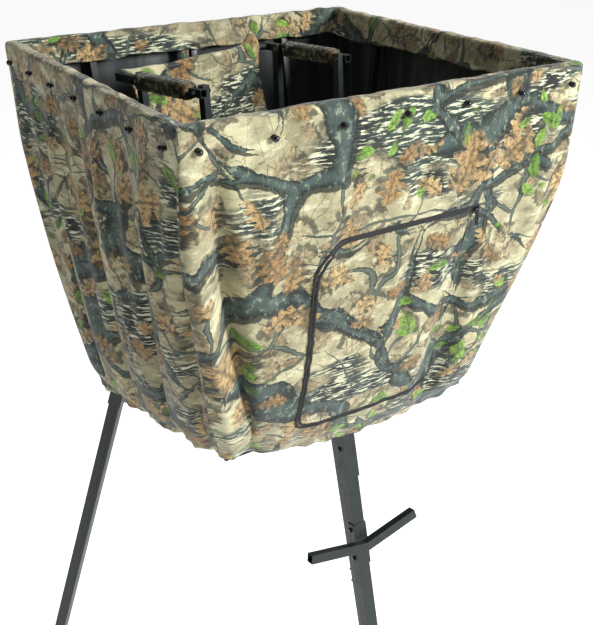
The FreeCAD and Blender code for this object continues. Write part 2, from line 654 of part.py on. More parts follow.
HEM_Z = DECK_TOP - HEM_BELOW_DECK
BULGE_Z = DECK_TOP + BULGE_ABOVE_DECK
BULGE_HALF_X = RAIL_HALF_X + BULGE_PAST_RAIL
BULGE_FRONT_Y = -RAIL_HALF_Y + BULGE_SHORT_OF_FRONT_RAIL
BULGE_BACK_Y = RAIL_HALF_Y + BULGE_PAST_RAIL
HEM_FRONT_HALF_X = DECK_HALF_X + HEM_PAST_DECK_SIDE_FRONT
HEM_BACK_HALF_X = DECK_HALF_X + HEM_PAST_DECK_SIDE_BACK
HEM_FRONT_Y = DECK_FRONT_Y - HEM_PAST_DECK_FRONT
HEM_BACK_Y = DECK_BACK_Y + HEM_PAST_DECK_BACK
HEM_RING = ring(HEM_FRONT_HALF_X, HEM_BACK_HALF_X, HEM_FRONT_Y, HEM_BACK_Y, HEM_Z)
BULGE_RING = ring(BULGE_HALF_X, BULGE_HALF_X, BULGE_FRONT_Y, BULGE_BACK_Y, BULGE_Z)
RIM_RING = ring(RAIL_HALF_X, RAIL_HALF_X, -RAIL_HALF_Y, RAIL_HALF_Y, RAIL_TOP)
OVER_RAIL = RAIL_TUBE + 2 * RAIL_SKIN
POST_LENGTH = RAIL_Z - RAIL_TUBE / 2 - DECK_TOP


def flap_ring(top):
    """The flap's lower edge leans in as far as the posts behind it do, and a little more."""
    drop = FLAP_LENGTH
    lean_side = (RAIL_X - FRAME_X) / POST_LENGTH * drop + FLAP_POST_GAP
    lean_front = (RAIL_Y + FRAME_FRONT) / POST_LENGTH * drop + FLAP_POST_GAP
    lean_back = (RAIL_Y - FRAME_BACK) / POST_LENGTH * drop + FLAP_POST_GAP
    lean = [(lean_side, lean_front), (-lean_side, lean_front),
            (-lean_side, -lean_back), (lean_side, -lean_back)]
    return [c + Vector(x, y, -drop) for c, (x, y) in zip(top, lean)]


def make_walls():
    inner_top = shrink(RIM_RING, OVER_RAIL)
    under_rail = [c - Vector(0, 0, OVER_RAIL) for c in RIM_RING]
    outer = [HEM_RING, BULGE_RING, under_rail, RIM_RING, inner_top, flap_ring(inner_top)]
    under_top = shrink(RIM_RING, OVER_RAIL - CLOTH, CLOTH)
    under_flap = [c + (u - t) + Vector(0, 0, CLOTH)
                  for c, u, t in zip(flap_ring(inner_top), under_top, inner_top)]
    inner = [shrink(HEM_RING, CLOTH), shrink(BULGE_RING, CLOTH), shrink(under_rail, CLOTH),
             shrink(RIM_RING, CLOTH, CLOTH), under_top, under_flap]
    for name, a, b in (("front", 0, 1), ("right", 1, 2), ("back", 2, 3), ("left", 3, 0)):
        parts["wall_%s" % name] = cloth_side(outer, inner, a, b)


# ---- zipped door in the front wall -----------------------------------------------------------
WALL_UP = (Vector(0, BULGE_FRONT_Y, BULGE_Z) - Vector(0, HEM_FRONT_Y, HEM_Z)).normalize()
WALL_OUT = X_AXIS.cross(WALL_UP)


def on_wall(along, height, out=0.0):
    """Point on the front wall's outer face at a height above the deck."""
    base = Vector(0, HEM_FRONT_Y, HEM_Z)
    climb = (DECK_TOP + height - HEM_Z) / WALL_UP.z
    return base + WALL_UP * climb + X_AXIS * along + WALL_OUT * out


def door_outline(grow, hinge_shift):
    """Wire on the wall's outer face: square at the hinge side, rounded at the free side."""
    left = DOOR_LEFT - grow
    right = DOOR_HINGE + hinge_shift
    corner = on_wall(0, DOOR_BOTTOM_ABOVE_DECK)
    low = -grow
    high = (on_wall(0, DOOR_TOP_ABOVE_DECK) - corner).Length + grow
    turn_top = DOOR_ROUND_TOP + grow
    turn_bottom = DOOR_ROUND_BOTTOM + grow
    diag = math.sqrt(0.5)

    def at(u, v):
        return corner + X_AXIS * u + WALL_UP * v

    top_arc = Part.Arc(at(left + turn_top, high),
                       at(left + turn_top * (1 - diag), high - turn_top * (1 - diag)),
                       at(left, high - turn_top))
    bottom_arc = Part.Arc(at(left, low + turn_bottom),
                          at(left + turn_bottom * (1 - diag), low + turn_bottom * (1 - diag)),
                          at(left + turn_bottom, low))
    edges = [Part.makeLine(at(right, low), at(right, high)),
             Part.makeLine(at(right, high), at(left + turn_top, high)),
             top_arc.toShape(),
             Part.makeLine(at(left, high - turn_top), at(left, low + turn_bottom)),
             bottom_arc.toShape(),
             Part.makeLine(at(left + turn_bottom, low), at(right, low))]
    return Part.Face(Part.Wire(edges))


def slab(face, low, high):
    """The outline swept through the wall from low to high, measured outward from its outer face."""
    moved = face.copy()
    moved.translate(WALL_OUT * low)
    return moved.extrude(WALL_OUT * (high - low))


def make_door():
    hole = slab(door_outline(DOOR_GAP, HINGE_GAP), -4 * CLOTH, 4 * CLOTH)
    wall = parts["wall_front"]
    parts["door_panel"] = wall.common(slab(door_outline(0, 0), -4 * CLOTH, 4 * CLOTH))
    parts["wall_front"] = wall.cut(hole)
    frame_band = slab(door_outline(DOOR_GAP + COIL_WIDTH, COIL_RUN_OUT), 0, COIL_THICK)
    frame_band = frame_band.cut(slab(door_outline(DOOR_GAP, 2 * COIL_RUN_OUT), -1, 2 * COIL_THICK))
    parts["zipper_coil_frame"] = frame_band
    door_band = slab(door_outline(0, 0), 0, COIL_THICK)
    parts["zipper_coil_door"] = door_band.cut(slab(door_outline(-COIL_WIDTH, COIL_WIDTH), -1, 2 * COIL_THICK))


SLIDER_AT = DOOR_HINGE + HINGE_GAP + SLIDER_LENGTH / 2 + SLIDER_CLEAR_OF_HINGE
SLIDER_UNDER = COIL_THICK + SOFT_GAP
SLIDER_TOP = SLIDER_UNDER + SLIDER_THICK
PIVOT_OUT = SLIDER_TOP + BRIDGE_PIN_R + PULL_FIT + PULL_THICK / 2


def slider_point(along, up, out):
    """Point from the middle of the slider, which sits over the coils' meeting line."""
    middle = on_wall(SLIDER_AT, DOOR_TOP_ABOVE_DECK) + WALL_UP * (DOOR_GAP / 2)
    return middle + X_AXIS * along + WALL_UP * up + WALL_OUT * out


def make_slider():
    body = bar(slider_point(0, 0, SLIDER_UNDER), slider_point(0, 0, SLIDER_TOP),
               SLIDER_LENGTH, SLIDER_WIDTH, X_AXIS)
    pin_half = PULL_WIDTH / 2 + SOFT_GAP
    cheeks = []
    for sign in (-1, 1):
        cheek_at = sign * (pin_half + BRIDGE_THICK / 2)
        near = slider_point(cheek_at, 0, SLIDER_TOP - CHEEK_SINK)
        far = slider_point(cheek_at, 0, PIVOT_OUT + BRIDGE_PIN_R + CHEEK_OVER_PIN)
        cheeks.append(bar(near, far, BRIDGE_THICK, 2 * BRIDGE_PIN_R + CHEEK_SPARE, X_AXIS))
    pin_end = pin_half + CHEEK_SINK
    pin = rod(slider_point(-pin_end, 0, PIVOT_OUT), slider_point(pin_end, 0, PIVOT_OUT), BRIDGE_PIN_R)
    parts["zipper_slider"] = body.fuse(cheeks[0]).fuse(cheeks[1]).fuse(pin)
    pivot = slider_point(0, 0, PIVOT_OUT)
    eye_r = BRIDGE_PIN_R + PULL_FIT + PULL_THICK / 2
    half = PULL_WIDTH / 2
    eye = rod(pivot - X_AXIS * half, pivot + X_AXIS * half, eye_r)
    tab_corner = pivot + Vector(-half, -PULL_THICK / 2, -PULL_LENGTH)
    tab = Part.makeBox(PULL_WIDTH, PULL_THICK, PULL_LENGTH, tab_corner)
    bore = rod(pivot - X_AXIS * PULL_WIDTH, pivot + X_AXIS * PULL_WIDTH, BRIDGE_PIN_R + PULL_FIT / 2)
    parts["zipper_pull"] = tab.fuse(eye).cut(bore)


# ---- bungee balls ----------------------------------------------------------------------------
def make_bungees():
    """Seven balls along each wall, each on a short elastic knotted behind an eyelet in the cloth."""
    balls = []
    cords = []
    grommets = []
    straight = RAIL_TOP - OVER_RAIL - BULGE_Z
    share = (BUNGEE_DROP - OVER_RAIL) / straight
    for name, out, reach, bulge in (("front", Y_AXIS * -1, RAIL_HALF_Y, -BULGE_FRONT_Y),
                                    ("back", Y_AXIS, RAIL_HALF_Y, BULGE_BACK_Y),
                                    ("left", X_AXIS * -1, RAIL_HALF_X, BULGE_HALF_X),
                                    ("right", X_AXIS, RAIL_HALF_X, BULGE_HALF_X)):
        along = Z_AXIS.cross(out)
        down = (out * (bulge - reach) - Z_AXIS * straight).normalize()
        facing = down.cross(along)
        middle = out * (reach + (bulge - reach) * share) + Z_AXIS * (RAIL_TOP - BUNGEE_DROP)
        holes = []
        for k in range(BUNGEES_PER_SIDE):
            skin = middle + along * ((k - (BUNGEES_PER_SIDE - 1) / 2) * BUNGEE_PITCH)
            eyelet = skin + facing * SOFT_GAP
            ball = eyelet + facing * (GROMMET_THICK + SOFT_GAP + BALL_R)
            knot = skin - facing * (CLOTH + SOFT_GAP)
            knot_end = knot - facing * KNOT_THICK
            balls.append(Part.makeSphere(BALL_R, ball))
            cord = rod(knot_end, ball, CORD_R).fuse(rod(knot_end, knot, KNOT_R))
            cords.append(cord.cut(Part.makeSphere(BALL_R, ball)))
            holes.append(rod(knot, ball, CORD_HOLE_R))
            washer = rod(eyelet, eyelet + facing * GROMMET_THICK, GROMMET_R)
            grommets.append(washer.cut(holes[-1]))
        parts["wall_%s" % name] = parts["wall_%s" % name].cut(Part.makeCompound(holes))
    parts["bungee_balls"] = Part.makeCompound(balls)
    parts["bungee_cords"] = Part.makeCompound(cords)
    parts["grommets"] = Part.makeCompound(grommets)


make_tripod()
make_steps()
make_deck()
make_rail()
make_seat()
make_swivel()
parts["seat_sling"] = make_sling()
make_walls()
make_door()
make_slider()
make_bungees()

footprint_front = leg_point("ladder", 0).y - FOOT_RADIUS
footprint_back = leg_point("left", 0).y + FOOT_RADIUS
CENTRE_SHIFT = Vector(0, -(footprint_front + footprint_back) / 2, 0)

for node, shape in parts.items():
    shape.translate(CENTRE_SHIFT)
    if not shape.isValid() or shape.Volume <= 0:
        print("check", node, shape.isValid(), shape.Volume)
    shape.exportStep("parts/%s.step" % node)
print(len(parts), "nodes")
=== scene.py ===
import json
import math
import bpy
import numpy as np
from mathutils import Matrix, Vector


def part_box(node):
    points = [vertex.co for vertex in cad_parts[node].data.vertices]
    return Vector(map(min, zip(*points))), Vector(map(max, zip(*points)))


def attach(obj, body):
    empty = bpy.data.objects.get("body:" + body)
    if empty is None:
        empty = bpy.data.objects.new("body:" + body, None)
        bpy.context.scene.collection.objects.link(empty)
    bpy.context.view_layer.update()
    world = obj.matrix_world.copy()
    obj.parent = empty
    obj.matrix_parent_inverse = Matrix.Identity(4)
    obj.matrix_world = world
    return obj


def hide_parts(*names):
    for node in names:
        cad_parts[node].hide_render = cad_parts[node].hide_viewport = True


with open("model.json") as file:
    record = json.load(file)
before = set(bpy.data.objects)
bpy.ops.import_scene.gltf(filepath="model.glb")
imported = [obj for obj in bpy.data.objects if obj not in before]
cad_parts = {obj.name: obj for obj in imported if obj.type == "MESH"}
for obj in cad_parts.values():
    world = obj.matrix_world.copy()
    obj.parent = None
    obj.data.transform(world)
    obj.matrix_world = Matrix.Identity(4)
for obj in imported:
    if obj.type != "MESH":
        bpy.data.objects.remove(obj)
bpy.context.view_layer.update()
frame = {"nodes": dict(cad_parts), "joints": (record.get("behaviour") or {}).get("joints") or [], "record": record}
nodes = frame["nodes"]
joints = {joint["name"]: joint for joint in frame["joints"]}

# ---- places taken from the frame ----
CLOTH_OVER_RAIL = 0.0023
RIM_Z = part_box("wall_front")[1].z
DECK_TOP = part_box("deck_slats")[1].z
RIM_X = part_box("rail_right")[1].x + CLOTH_OVER_RAIL
RIM_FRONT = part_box("rail_front")[0].y - CLOTH_OVER_RAIL
RIM_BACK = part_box("rail_back")[1].y + CLOTH_OVER_RAIL
RIM_MID_Y = (RIM_FRONT + RIM_BACK) / 2
DOOR_AXIS = Vector(joints["door_hinge"]["axis"]).normalized()
SWIVEL = Vector(joints["seat_swivel"]["pos_m"])


# ---- small helpers ----
def mesh_object(name, points, faces, smooth=True):
    mesh = bpy.data.meshes.new(name)
    mesh.from_pydata([tuple(p) for p in points], [], faces)
    mesh.update()
    if smooth:
        mesh.polygons.foreach_set("use_smooth", [True] * len(mesh.polygons))
    thing = bpy.data.objects.new(name, mesh)
    bpy.context.scene.collection.objects.link(thing)
    return thing


def finish_piece(thing, body, material):
    thing.data.materials.clear()
    thing.data.materials.append(material)
    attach(thing, body)


def add_modifier(thing, kind, **settings):
    modifier = thing.modifiers.new(kind.lower(), kind)
    for key, value in settings.items():
        setattr(modifier, key, value)
    return modifier


def strip_faces(rows, columns):
    """Quads of an open grid of points stored row by row."""
    return [(r * columns + c, r * columns + c + 1, (r + 1) * columns + c + 1, (r + 1) * columns + c)
            for r in range(rows - 1) for c in range(columns - 1)]


def mark_cloth(thing, place):
    """Writes the flat cloth coordinates of every corner, from its point's number."""
    layer = thing.data.uv_layers.new(name="cloth")
    for loop in thing.data.loops:
        layer.data[loop.index].uv = place(loop.vertex_index)


# ---- node group plumbing ----
def feed(tree, value, socket):
    """Links a socket, or sets it to a constant."""
    if isinstance(value, bpy.types.NodeSocket):
        tree.links.new(value, socket)
    else:
        socket.default_value = value


class Nodes:
    """Writes nodes into one tree; each maker returns the socket that carries the result."""

    def __init__(self, tree):
        self.tree = tree

    def add(self, kind, inputs=(), output=0, **settings):
        node = self.tree.nodes.new(kind)
        for key, value in settings.items():
            setattr(node, key, value)
        for key, value in dict(inputs).items():
            feed(self.tree, value, node.inputs[key])
        return node.outputs[output]

    def math(self, operation, a, b=0.0, clamp=False):
        return self.add("ShaderNodeMath", {0: a, 1: b}, operation=operation, use_clamp=clamp)

    def vector(self, operation, a, b=(0, 0, 0)):
        output = "Value" if operation in ("LENGTH", "DOT_PRODUCT", "DISTANCE") else "Vector"
        return self.add("ShaderNodeVectorMath", {0: a, 1: b}, output=output, operation=operation)

    def scaled(self, a, factor):
        return self.add("ShaderNodeVectorMath", {0: a, "Scale": factor}, operation="SCALE")

    def noise(self, where, scale, detail=2.0, rough=0.5, output="Fac"):
        return self.add("ShaderNodeTexNoise",
                        {"Vector": where, "Scale": scale, "Detail": detail, "Roughness": rough},
                        output=output)

    def ramp(self, value, low, high, to_low=0.0, to_high=1.0):
        return self.add("ShaderNodeMapRange", {"Value": value, "From Min": low, "From Max": high,
                                               "To Min": to_low, "To Max": to_high},
                        interpolation_type="SMOOTHSTEP")

    def mix(self, factor, a, b, blend="MIX"):
        node = self.tree.nodes.new("ShaderNodeMix")
        node.data_type = "RGBA"
        node.blend_type = blend
        for index, value in ((0, factor), (6, a), (7, b)):
            if isinstance(value, tuple):
                value = (*value, 1.0)
            feed(self.tree, value, node.inputs[index])
        return node.outputs[2]


def new_group(name, inputs, outputs):
    """Empty shader group; inputs and outputs are (name, socket kind, default) and (name, kind)."""
    tree = bpy.data.node_groups.new(name, "ShaderNodeTree")
    for label, kind, default in inputs:
        socket = tree.interface.new_socket(label, in_out="INPUT", socket_type="NodeSocket" + kind)
        if default is not None:
            socket.default_value = default
    for label, kind in outputs:
        tree.interface.new_socket(label, in_out="OUTPUT", socket_type="NodeSocket" + kind)
    source = tree.nodes.new("NodeGroupInput")
    result = tree.nodes.new("NodeGroupOutput")
    return tree, Nodes(tree), source.outputs, result.inputs


def place_group(n, tree, inputs):
    node = n.tree.nodes.new("ShaderNodeGroup")
    node.node_tree = tree
    for key, value in inputs.items():
        feed(n.tree, value, node.inputs[key])
    return node.outputs


def join(n, socket, target):
    n.tree.links.new(socket, target)


# ---- shared effects ----
def make_branch_group():
    """Forking branches along the edges of warped cells, with a lit core and a dark rim."""
    tree, n, given, out = new_group(
        "branch_print",
        [("Vector", "Vector", None), ("Scale", "Float", 3.0), ("Width", "Float", 0.05),
         ("Knots", "Float", 0.03), ("Keep", "Float", 0.45), ("Seed", "Float", 0.0)],
        [("Mask", "Float"), ("Core", "Float")])
    seeded = n.add("ShaderNodeCombineXYZ", {"X": given["Seed"], "Y": given["Seed"], "Z": 0.0})
    moved = n.vector("ADD", given["Vector"], seeded)
    slow = n.vector("SUBTRACT", n.noise(moved, 3.2, 2.0, 0.5, output="Color"), (0.5, 0.5, 0.5))
    quick = n.vector("SUBTRACT", n.noise(moved, 34.0, 4.0, 0.65, output="Color"), (0.5, 0.5, 0.5))
    warped = n.vector("ADD", moved, n.vector("ADD", n.scaled(slow, 0.26), n.scaled(quick, given["Knots"])))
    warped = n.vector("MULTIPLY", warped, (0.72, 1.0, 1.0))
    edge = n.add("ShaderNodeTexVoronoi", {"Vector": warped, "Scale": given["Scale"]}, output="Distance",
                 feature="DISTANCE_TO_EDGE", voronoi_dimensions="2D")
    taper = n.ramp(n.noise(moved, 4.4, 2.0), given["Keep"], n.math("ADD", given["Keep"], 0.25))
    width = n.math("MULTIPLY", given["Width"], taper)
    ratio = n.math("DIVIDE", edge, n.math("ADD", width, 0.0001))
    join(n, n.ramp(ratio, 1.0, 0.84), out["Mask"])
    join(n, n.ramp(ratio, 0.95, 0.15), out["Core"])
    return tree


def make_leaf_group():
    """Scattered leaves, one at most per cell, each turned, sized and toned at random."""
    tree, n, given, out = new_group(
        "leaf_print",
        [("Vector", "Vector", None), ("Scale", "Float", 9.0), ("Chance", "Float", 0.4),
         ("Slender", "Float", 0.42), ("Lobes", "Float", 0.25), ("Ragged", "Float", 0.012),
         ("Seed", "Float", 0.0)],
        [("Mask", "Float"), ("Tone", "Float"), ("Vein", "Float"), ("Shadow", "Float")])
    seeded = n.add("ShaderNodeCombineXYZ", {"X": given["Seed"], "Y": given["Seed"], "Z": 0.0})
    moved = n.vector("ADD", given["Vector"], seeded)
    ragged = n.vector("SUBTRACT", n.noise(moved, 75.0, 4.0, 0.7, output="Color"), (0.5, 0.5, 0.5))
    moved = n.vector("ADD", moved, n.scaled(ragged, given["Ragged"]))
    cell = n.tree.nodes.new("ShaderNodeTexVoronoi")
    cell.voronoi_dimensions = "2D"
    join(n, moved, cell.inputs["Vector"])
    join(n, given["Scale"], cell.inputs["Scale"])
    cell.inputs["Randomness"].default_value = 0.85
    parts = n.tree.nodes.new("ShaderNodeSeparateColor")
    join(n, cell.outputs["Color"], parts.inputs[0])
    away = n.scaled(n.vector("SUBTRACT", moved, cell.outputs["Position"]), given["Scale"])
    size = n.math("FRACT", n.math("MULTIPLY", parts.outputs[2], 7.3))
    size = n.math("ADD", n.math("MULTIPLY", size, 0.55), 0.6)
    away = n.scaled(away, n.math("DIVIDE", 1.0, size))
    angle = n.math("MULTIPLY", parts.outputs[0], 6.283)
    turned = n.add("ShaderNodeVectorRotate", {"Vector": away, "Angle": angle}, rotation_type="Z_AXIS")

    def leaf(at, soft):
        axes = n.tree.nodes.new("ShaderNodeSeparateXYZ")
        join(n, at, axes.inputs[0])
        along = n.math("DIVIDE", axes.outputs[0], 0.56)
        bend = n.math("MULTIPLY", n.math("MULTIPLY", along, along), 0.10)
        across = n.math("ABSOLUTE", n.math("SUBTRACT", axes.outputs[1], bend))
        body = n.math("SUBTRACT", 1.0, n.math("MULTIPLY", along, along))
        wave = n.math("ABSOLUTE", n.math("SINE", n.math("MULTIPLY", along, 7.5)))
        lobes = n.math("ADD", n.math("MULTIPLY", n.math("SUBTRACT", wave, 0.6), given["Lobes"]), 1.0)
        half = n.math("MULTIPLY", n.math("MULTIPLY", body, given["Slender"]), lobes)
        return n.ramp(n.math("SUBTRACT", half, across), -soft, 0.02), along, across

    mask, along, across = leaf(turned, 0.0)
    present = n.math("LESS_THAN", parts.outputs[1], given["Chance"])
    shadow = leaf(n.vector("ADD", turned, (0.08, 0.10, 0.0)), 0.10)[0]
    ribs = n.math("ABSOLUTE", n.math("SUBTRACT", n.math("FRACT", n.math(
        "MULTIPLY", n.math("SUBTRACT", along, n.math("MULTIPLY", across, 1.6)), 4.0)), 0.5))
    vein = n.math("MAXIMUM", n.ramp(across, 0.04, 0.01), n.math("MULTIPLY", n.ramp(ribs, 0.12, 0.02), 0.7))
    join(n, n.math("MULTIPLY", mask, present), out["Mask"])
    join(n, parts.outputs[2], out["Tone"])
    join(n, vein, out["Vein"])
    join(n, n.math("MULTIPLY", shadow, present), out["Shadow"])
    return tree


def make_weave_group():
    """Fine plain weave with slow rumples, as one height."""
    tree, n, given, out = new_group(
        "cloth_height",
        [("Vector", "Vector", None), ("Thread", "Float", 900.0), ("Rumple", "Float", 1.0)],
        [("Height", "Float"), ("Rumples", "Float")])
    axes = n.tree.nodes.new("ShaderNodeSeparateXYZ")
    join(n, given["Vector"], axes.inputs[0])
    warp = n.math("SINE", n.math("MULTIPLY", axes.outputs[0], given["Thread"]))
    weft = n.math("SINE", n.math("MULTIPLY", axes.outputs[1], given["Thread"]))
    weave = n.math("MULTIPLY", warp, weft)
    slow = n.noise(given["Vector"], 14.0, 4.0, 0.62)
    fine = n.noise(given["Vector"], 55.0, 3.0, 0.6)
    rumples = n.math("ADD", slow, n.math("MULTIPLY", fine, 0.35))
    height = n.math("ADD", n.math("MULTIPLY", weave, 0.015), n.math("MULTIPLY", rumples, given["Rumple"]))
    join(n, height, out["Height"])
    join(n, rumples, out["Rumples"])
    return tree


def make_wear_group():
    """Coat mottling and small chips that follow edges, for painted steel."""
    tree, n, given, out = new_group(
        "coat_wear",
        [("Scale", "Float", 60.0), ("Chips", "Float", 0.5)],
        [("Mottle", "Float"), ("Chip", "Float"), ("Grain", "Float")])
    where = n.add("ShaderNodeTexCoord", output="Object")
    geometry = n.tree.nodes.new("ShaderNodeNewGeometry")
    mottle = n.noise(where, given["Scale"], 4.0, 0.6)
    scratch = n.noise(where, n.math("MULTIPLY", given["Scale"], 4.0), 3.0, 0.7)
    edge = n.ramp(geometry.outputs["Pointiness"], 0.53, 0.60)
    chip = n.math("MULTIPLY", edge, n.ramp(scratch, n.math("SUBTRACT", 1.0, given["Chips"]), 1.0))
    join(n, mottle, out["Mottle"])
    join(n, chip, out["Chip"])
    join(n, n.noise(where, 900.0, 2.0, 0.5), out["Grain"])
    return tree


BRANCHES = make_branch_group()
LEAVES = make_leaf_group()
WEAVE = make_weave_group()
WEAR = make_wear_group()


# ---- materials ----
def new_material(name):
    material = bpy.data.materials.new(name)
    material.use_nodes = True
    tree = material.node_tree
    shader = tree.nodes["Principled BSDF"]
    return material, Nodes(tree), shader


def bump(n, shader, height, strength, distance):
    node = n.tree.nodes.new("ShaderNodeBump")
    node.inputs["Strength"].default_value = strength
    node.inputs["Distance"].default_value = distance
    join(n, height, node.inputs["Height"])
    join(n, node.outputs["Normal"], shader.inputs["Normal"])


def crumpled_leaves(n, where, colour, scale, chance, seed, tones, lobes, ragged, slender, veins=0.6,
                    gate=None):
    """Leaves over the colour so far: a soft shadow, two tones broken up by fine dark creases."""
    leaf = place_group(n, LEAVES, {"Vector": where, "Scale": scale, "Chance": chance, "Slender": slender,
                                   "Lobes": lobes, "Ragged": ragged, "Seed": seed})
    fine = n.noise(where, 95.0, 4.0, 0.75)
    tone = n.mix(leaf["Tone"], tones[0], tones[1])
    tone = n.mix(n.ramp(fine, 0.50, 0.62, 0.0, 0.75), tone, tones[2])
    tone = n.mix(n.ramp(fine, 0.42, 0.34, 0.0, 0.6), tone, tones[3])
    tone = n.mix(n.math("MULTIPLY", leaf["Vein"], veins), tone, tones[2])
    worn = n.ramp(n.noise(where, 30.0, 3.0, 0.6), 0.36, 0.56, 0.35, 1.0)
    mask, shadow = n.math("MULTIPLY", leaf["Mask"], worn), n.math("MULTIPLY", leaf["Shadow"], 0.7)
    if gate is not None:
        mask, shadow = n.math("MULTIPLY", mask, gate), n.math("MULTIPLY", shadow, gate)
    return n.mix(mask, n.mix(shadow, colour, (0.022, 0.024, 0.02)), tone)


# body, lighter body, creases, highlights
PALE_LEAF = ((0.38, 0.31, 0.20), (0.55, 0.48, 0.34), (0.16, 0.125, 0.08), (0.68, 0.62, 0.46))
FADED_LEAF = ((0.29, 0.215, 0.135), (0.45, 0.37, 0.25), (0.13, 0.10, 0.065), (0.62, 0.55, 0.40))
DRY_LEAF = ((0.30, 0.180, 0.085), (0.52, 0.37, 0.21), (0.07, 0.048, 0.028), (0.68, 0.56, 0.37))
GREEN_LEAF = ((0.12, 0.225, 0.035), (0.29, 0.45, 0.10), (0.05, 0.10, 0.02), (0.46, 0.60, 0.27))


def branches(n, where, scale, width, knots, keep, seed):
    return place_group(n, BRANCHES, {"Vector": where, "Scale": scale, "Width": width, "Knots": knots,
                                     "Keep": keep, "Seed": seed})


def camo_colour(n, where, shade):
    """Woodland print: bark bands, twigs, big limbs, dry leaves and small green leaves."""
    mottle = n.noise(n.vector("MULTIPLY", where, (1.0, 0.7, 1.0)), 6.0, 5.0, 0.65)
    smear = n.vector("ADD", where, (0.0, 3.1, 0.0))
    smear = n.noise(n.vector("MULTIPLY", smear, (14.0, 34.0, 1.0)), 1.0, 5.0, 0.7)
    colour = n.mix(n.ramp(mottle, 0.36, 0.62), (0.28, 0.245, 0.165), (0.52, 0.47, 0.34))
    colour = n.mix(n.ramp(smear, 0.50, 0.68, 0.0, 0.75), colour, (0.66, 0.62, 0.48))
    colour = n.mix(n.ramp(smear, 0.42, 0.30, 0.0, 0.6), colour, (0.19, 0.155, 0.105))
    colour = crumpled_leaves(n, where, colour, 10.0, 0.66, 3.7, PALE_LEAF, 0.4, 0.018, 0.27, 0.35)
    colour = crumpled_leaves(n, where, colour, 14.5, 0.50, 51.3, FADED_LEAF, 0.5, 0.020, 0.25, 0.45)
    thin = branches(n, where, 13.0, 0.040, 0.026, 0.47, 14.9)
    colour = n.mix(n.math("MULTIPLY", thin["Mask"], 0.75), colour, (0.07, 0.07, 0.055))
    hair = branches(n, n.vector("MULTIPLY", where, (1.5, 0.6, 1.0)), 27.0, 0.034, 0.020, 0.42, 4.4)
    colour = n.mix(n.math("MULTIPLY", hair["Mask"], 0.7), colour, (0.13, 0.105, 0.07))
    grime = n.noise(n.vector("MULTIPLY", where, (11.0, 17.0, 1.0)), 1.0, 6.0, 0.72)
    colour = n.mix(n.ramp(grime, 0.50, 0.36, 0.0, 0.55), colour, (0.17, 0.15, 0.11))
    streak = n.noise(n.vector("MULTIPLY", where, (26.0, 150.0, 1.0)), 1.0, 3.0, 0.65)
    wave = n.noise(n.vector("MULTIPLY", where, (1.9, 4.6, 1.0)), 1.0, 3.0, 0.55)
    band = n.ramp(wave, 0.505, 0.565)
    deep = n.mix(n.ramp(mottle, 0.4, 0.6), (0.014, 0.020, 0.020), (0.050, 0.070, 0.066))
    bark = n.mix(n.ramp(streak, 0.50, 0.59), deep, (0.58, 0.56, 0.45))
    colour = n.mix(band, colour, bark)
    twigs = branches(n, where, 8.0, 0.040, 0.016, 0.38, 8.1)
    twig = n.mix(twigs["Core"], (0.03, 0.036, 0.032), (0.12, 0.14, 0.12))
    colour = n.mix(twigs["Mask"], colour, twig)
    shadow_at = n.vector("ADD", where, (-0.008, 0.011, 0.0))
    grain = n.noise(n.vector("MULTIPLY", where, (70.0, 40.0, 1.0)), 1.0, 5.0, 0.8)
    for scale, width, seed, keep in ((2.6, 0.075, 2.4, 0.37), (4.3, 0.066, 6.1, 0.43)):
        limbs = branches(n, where, scale, width, 0.026, keep, seed)
        under = branches(n, shadow_at, scale, width, 0.026, keep, seed)
        colour = n.mix(n.math("MULTIPLY", under["Mask"], 0.85), colour, (0.020, 0.026, 0.023))
        limb = n.mix(limbs["Core"], (0.012, 0.018, 0.018), (0.072, 0.098, 0.094))
        limb = n.mix(n.ramp(grain, 0.52, 0.66, 0.0, 0.85), limb, (0.31, 0.35, 0.28))
        limb = n.mix(n.ramp(grain, 0.44, 0.34, 0.0, 0.8), limb, (0.018, 0.024, 0.023))
        colour = n.mix(limbs["Mask"], colour, limb)
    clumps = n.ramp(n.noise(n.vector("ADD", where, (9.0, 0.0, 0.0)), 4.2, 2.0), 0.47, 0.50)
    colour = crumpled_leaves(n, where, colour, 11.5, 0.60, 31.7, DRY_LEAF, 0.9, 0.020, 0.26, 0.6, clumps)
    colour = crumpled_leaves(n, where, colour, 7.2, 0.26, 11.3, DRY_LEAF, 1.0, 0.022, 0.28, 0.6)
    cluster = n.ramp(n.noise(where, 3.6, 1.0), 0.565, 0.59)
    colour = crumpled_leaves(n, where, colour, 18.0, 0.50, 21.9, GREEN_LEAF, 0.12, 0.008, 0.24, 0.6, cluster)
    colour = crumpled_leaves(n, where, colour, 13.0, 0.045, 44.2, GREEN_LEAF, 0.12, 0.010, 0.24, 0.6)
    deeper = n.add("ShaderNodeGamma", {"Color": colour, "Gamma": 1.18})
    return n.mix(1.0, deeper, (0.99 * shade, 1.05 * shade, 0.95 * shade), "MULTIPLY")


def camo_material(name, shade=1.0, rumple=1.0, strength=0.5):
    material, n, shader = new_material(name)
    where = n.add("ShaderNodeUVMap", uv_map="cloth")
    weave = place_group(n, WEAVE, {"Vector": where, "Rumple": rumple})
    join(n, camo_colour(n, where, shade), shader.inputs["Base Color"])
    join(n, n.ramp(weave["Rumples"], 0.3, 1.0, 0.72, 0.9), shader.inputs["Roughness"])
    shader.inputs["Sheen Weight"].default_value = 0.15
    shader.inputs["Specular IOR Level"].default_value = 0.3
    bump(n, shader, weave["Height"], strength, 0.006)
    return material


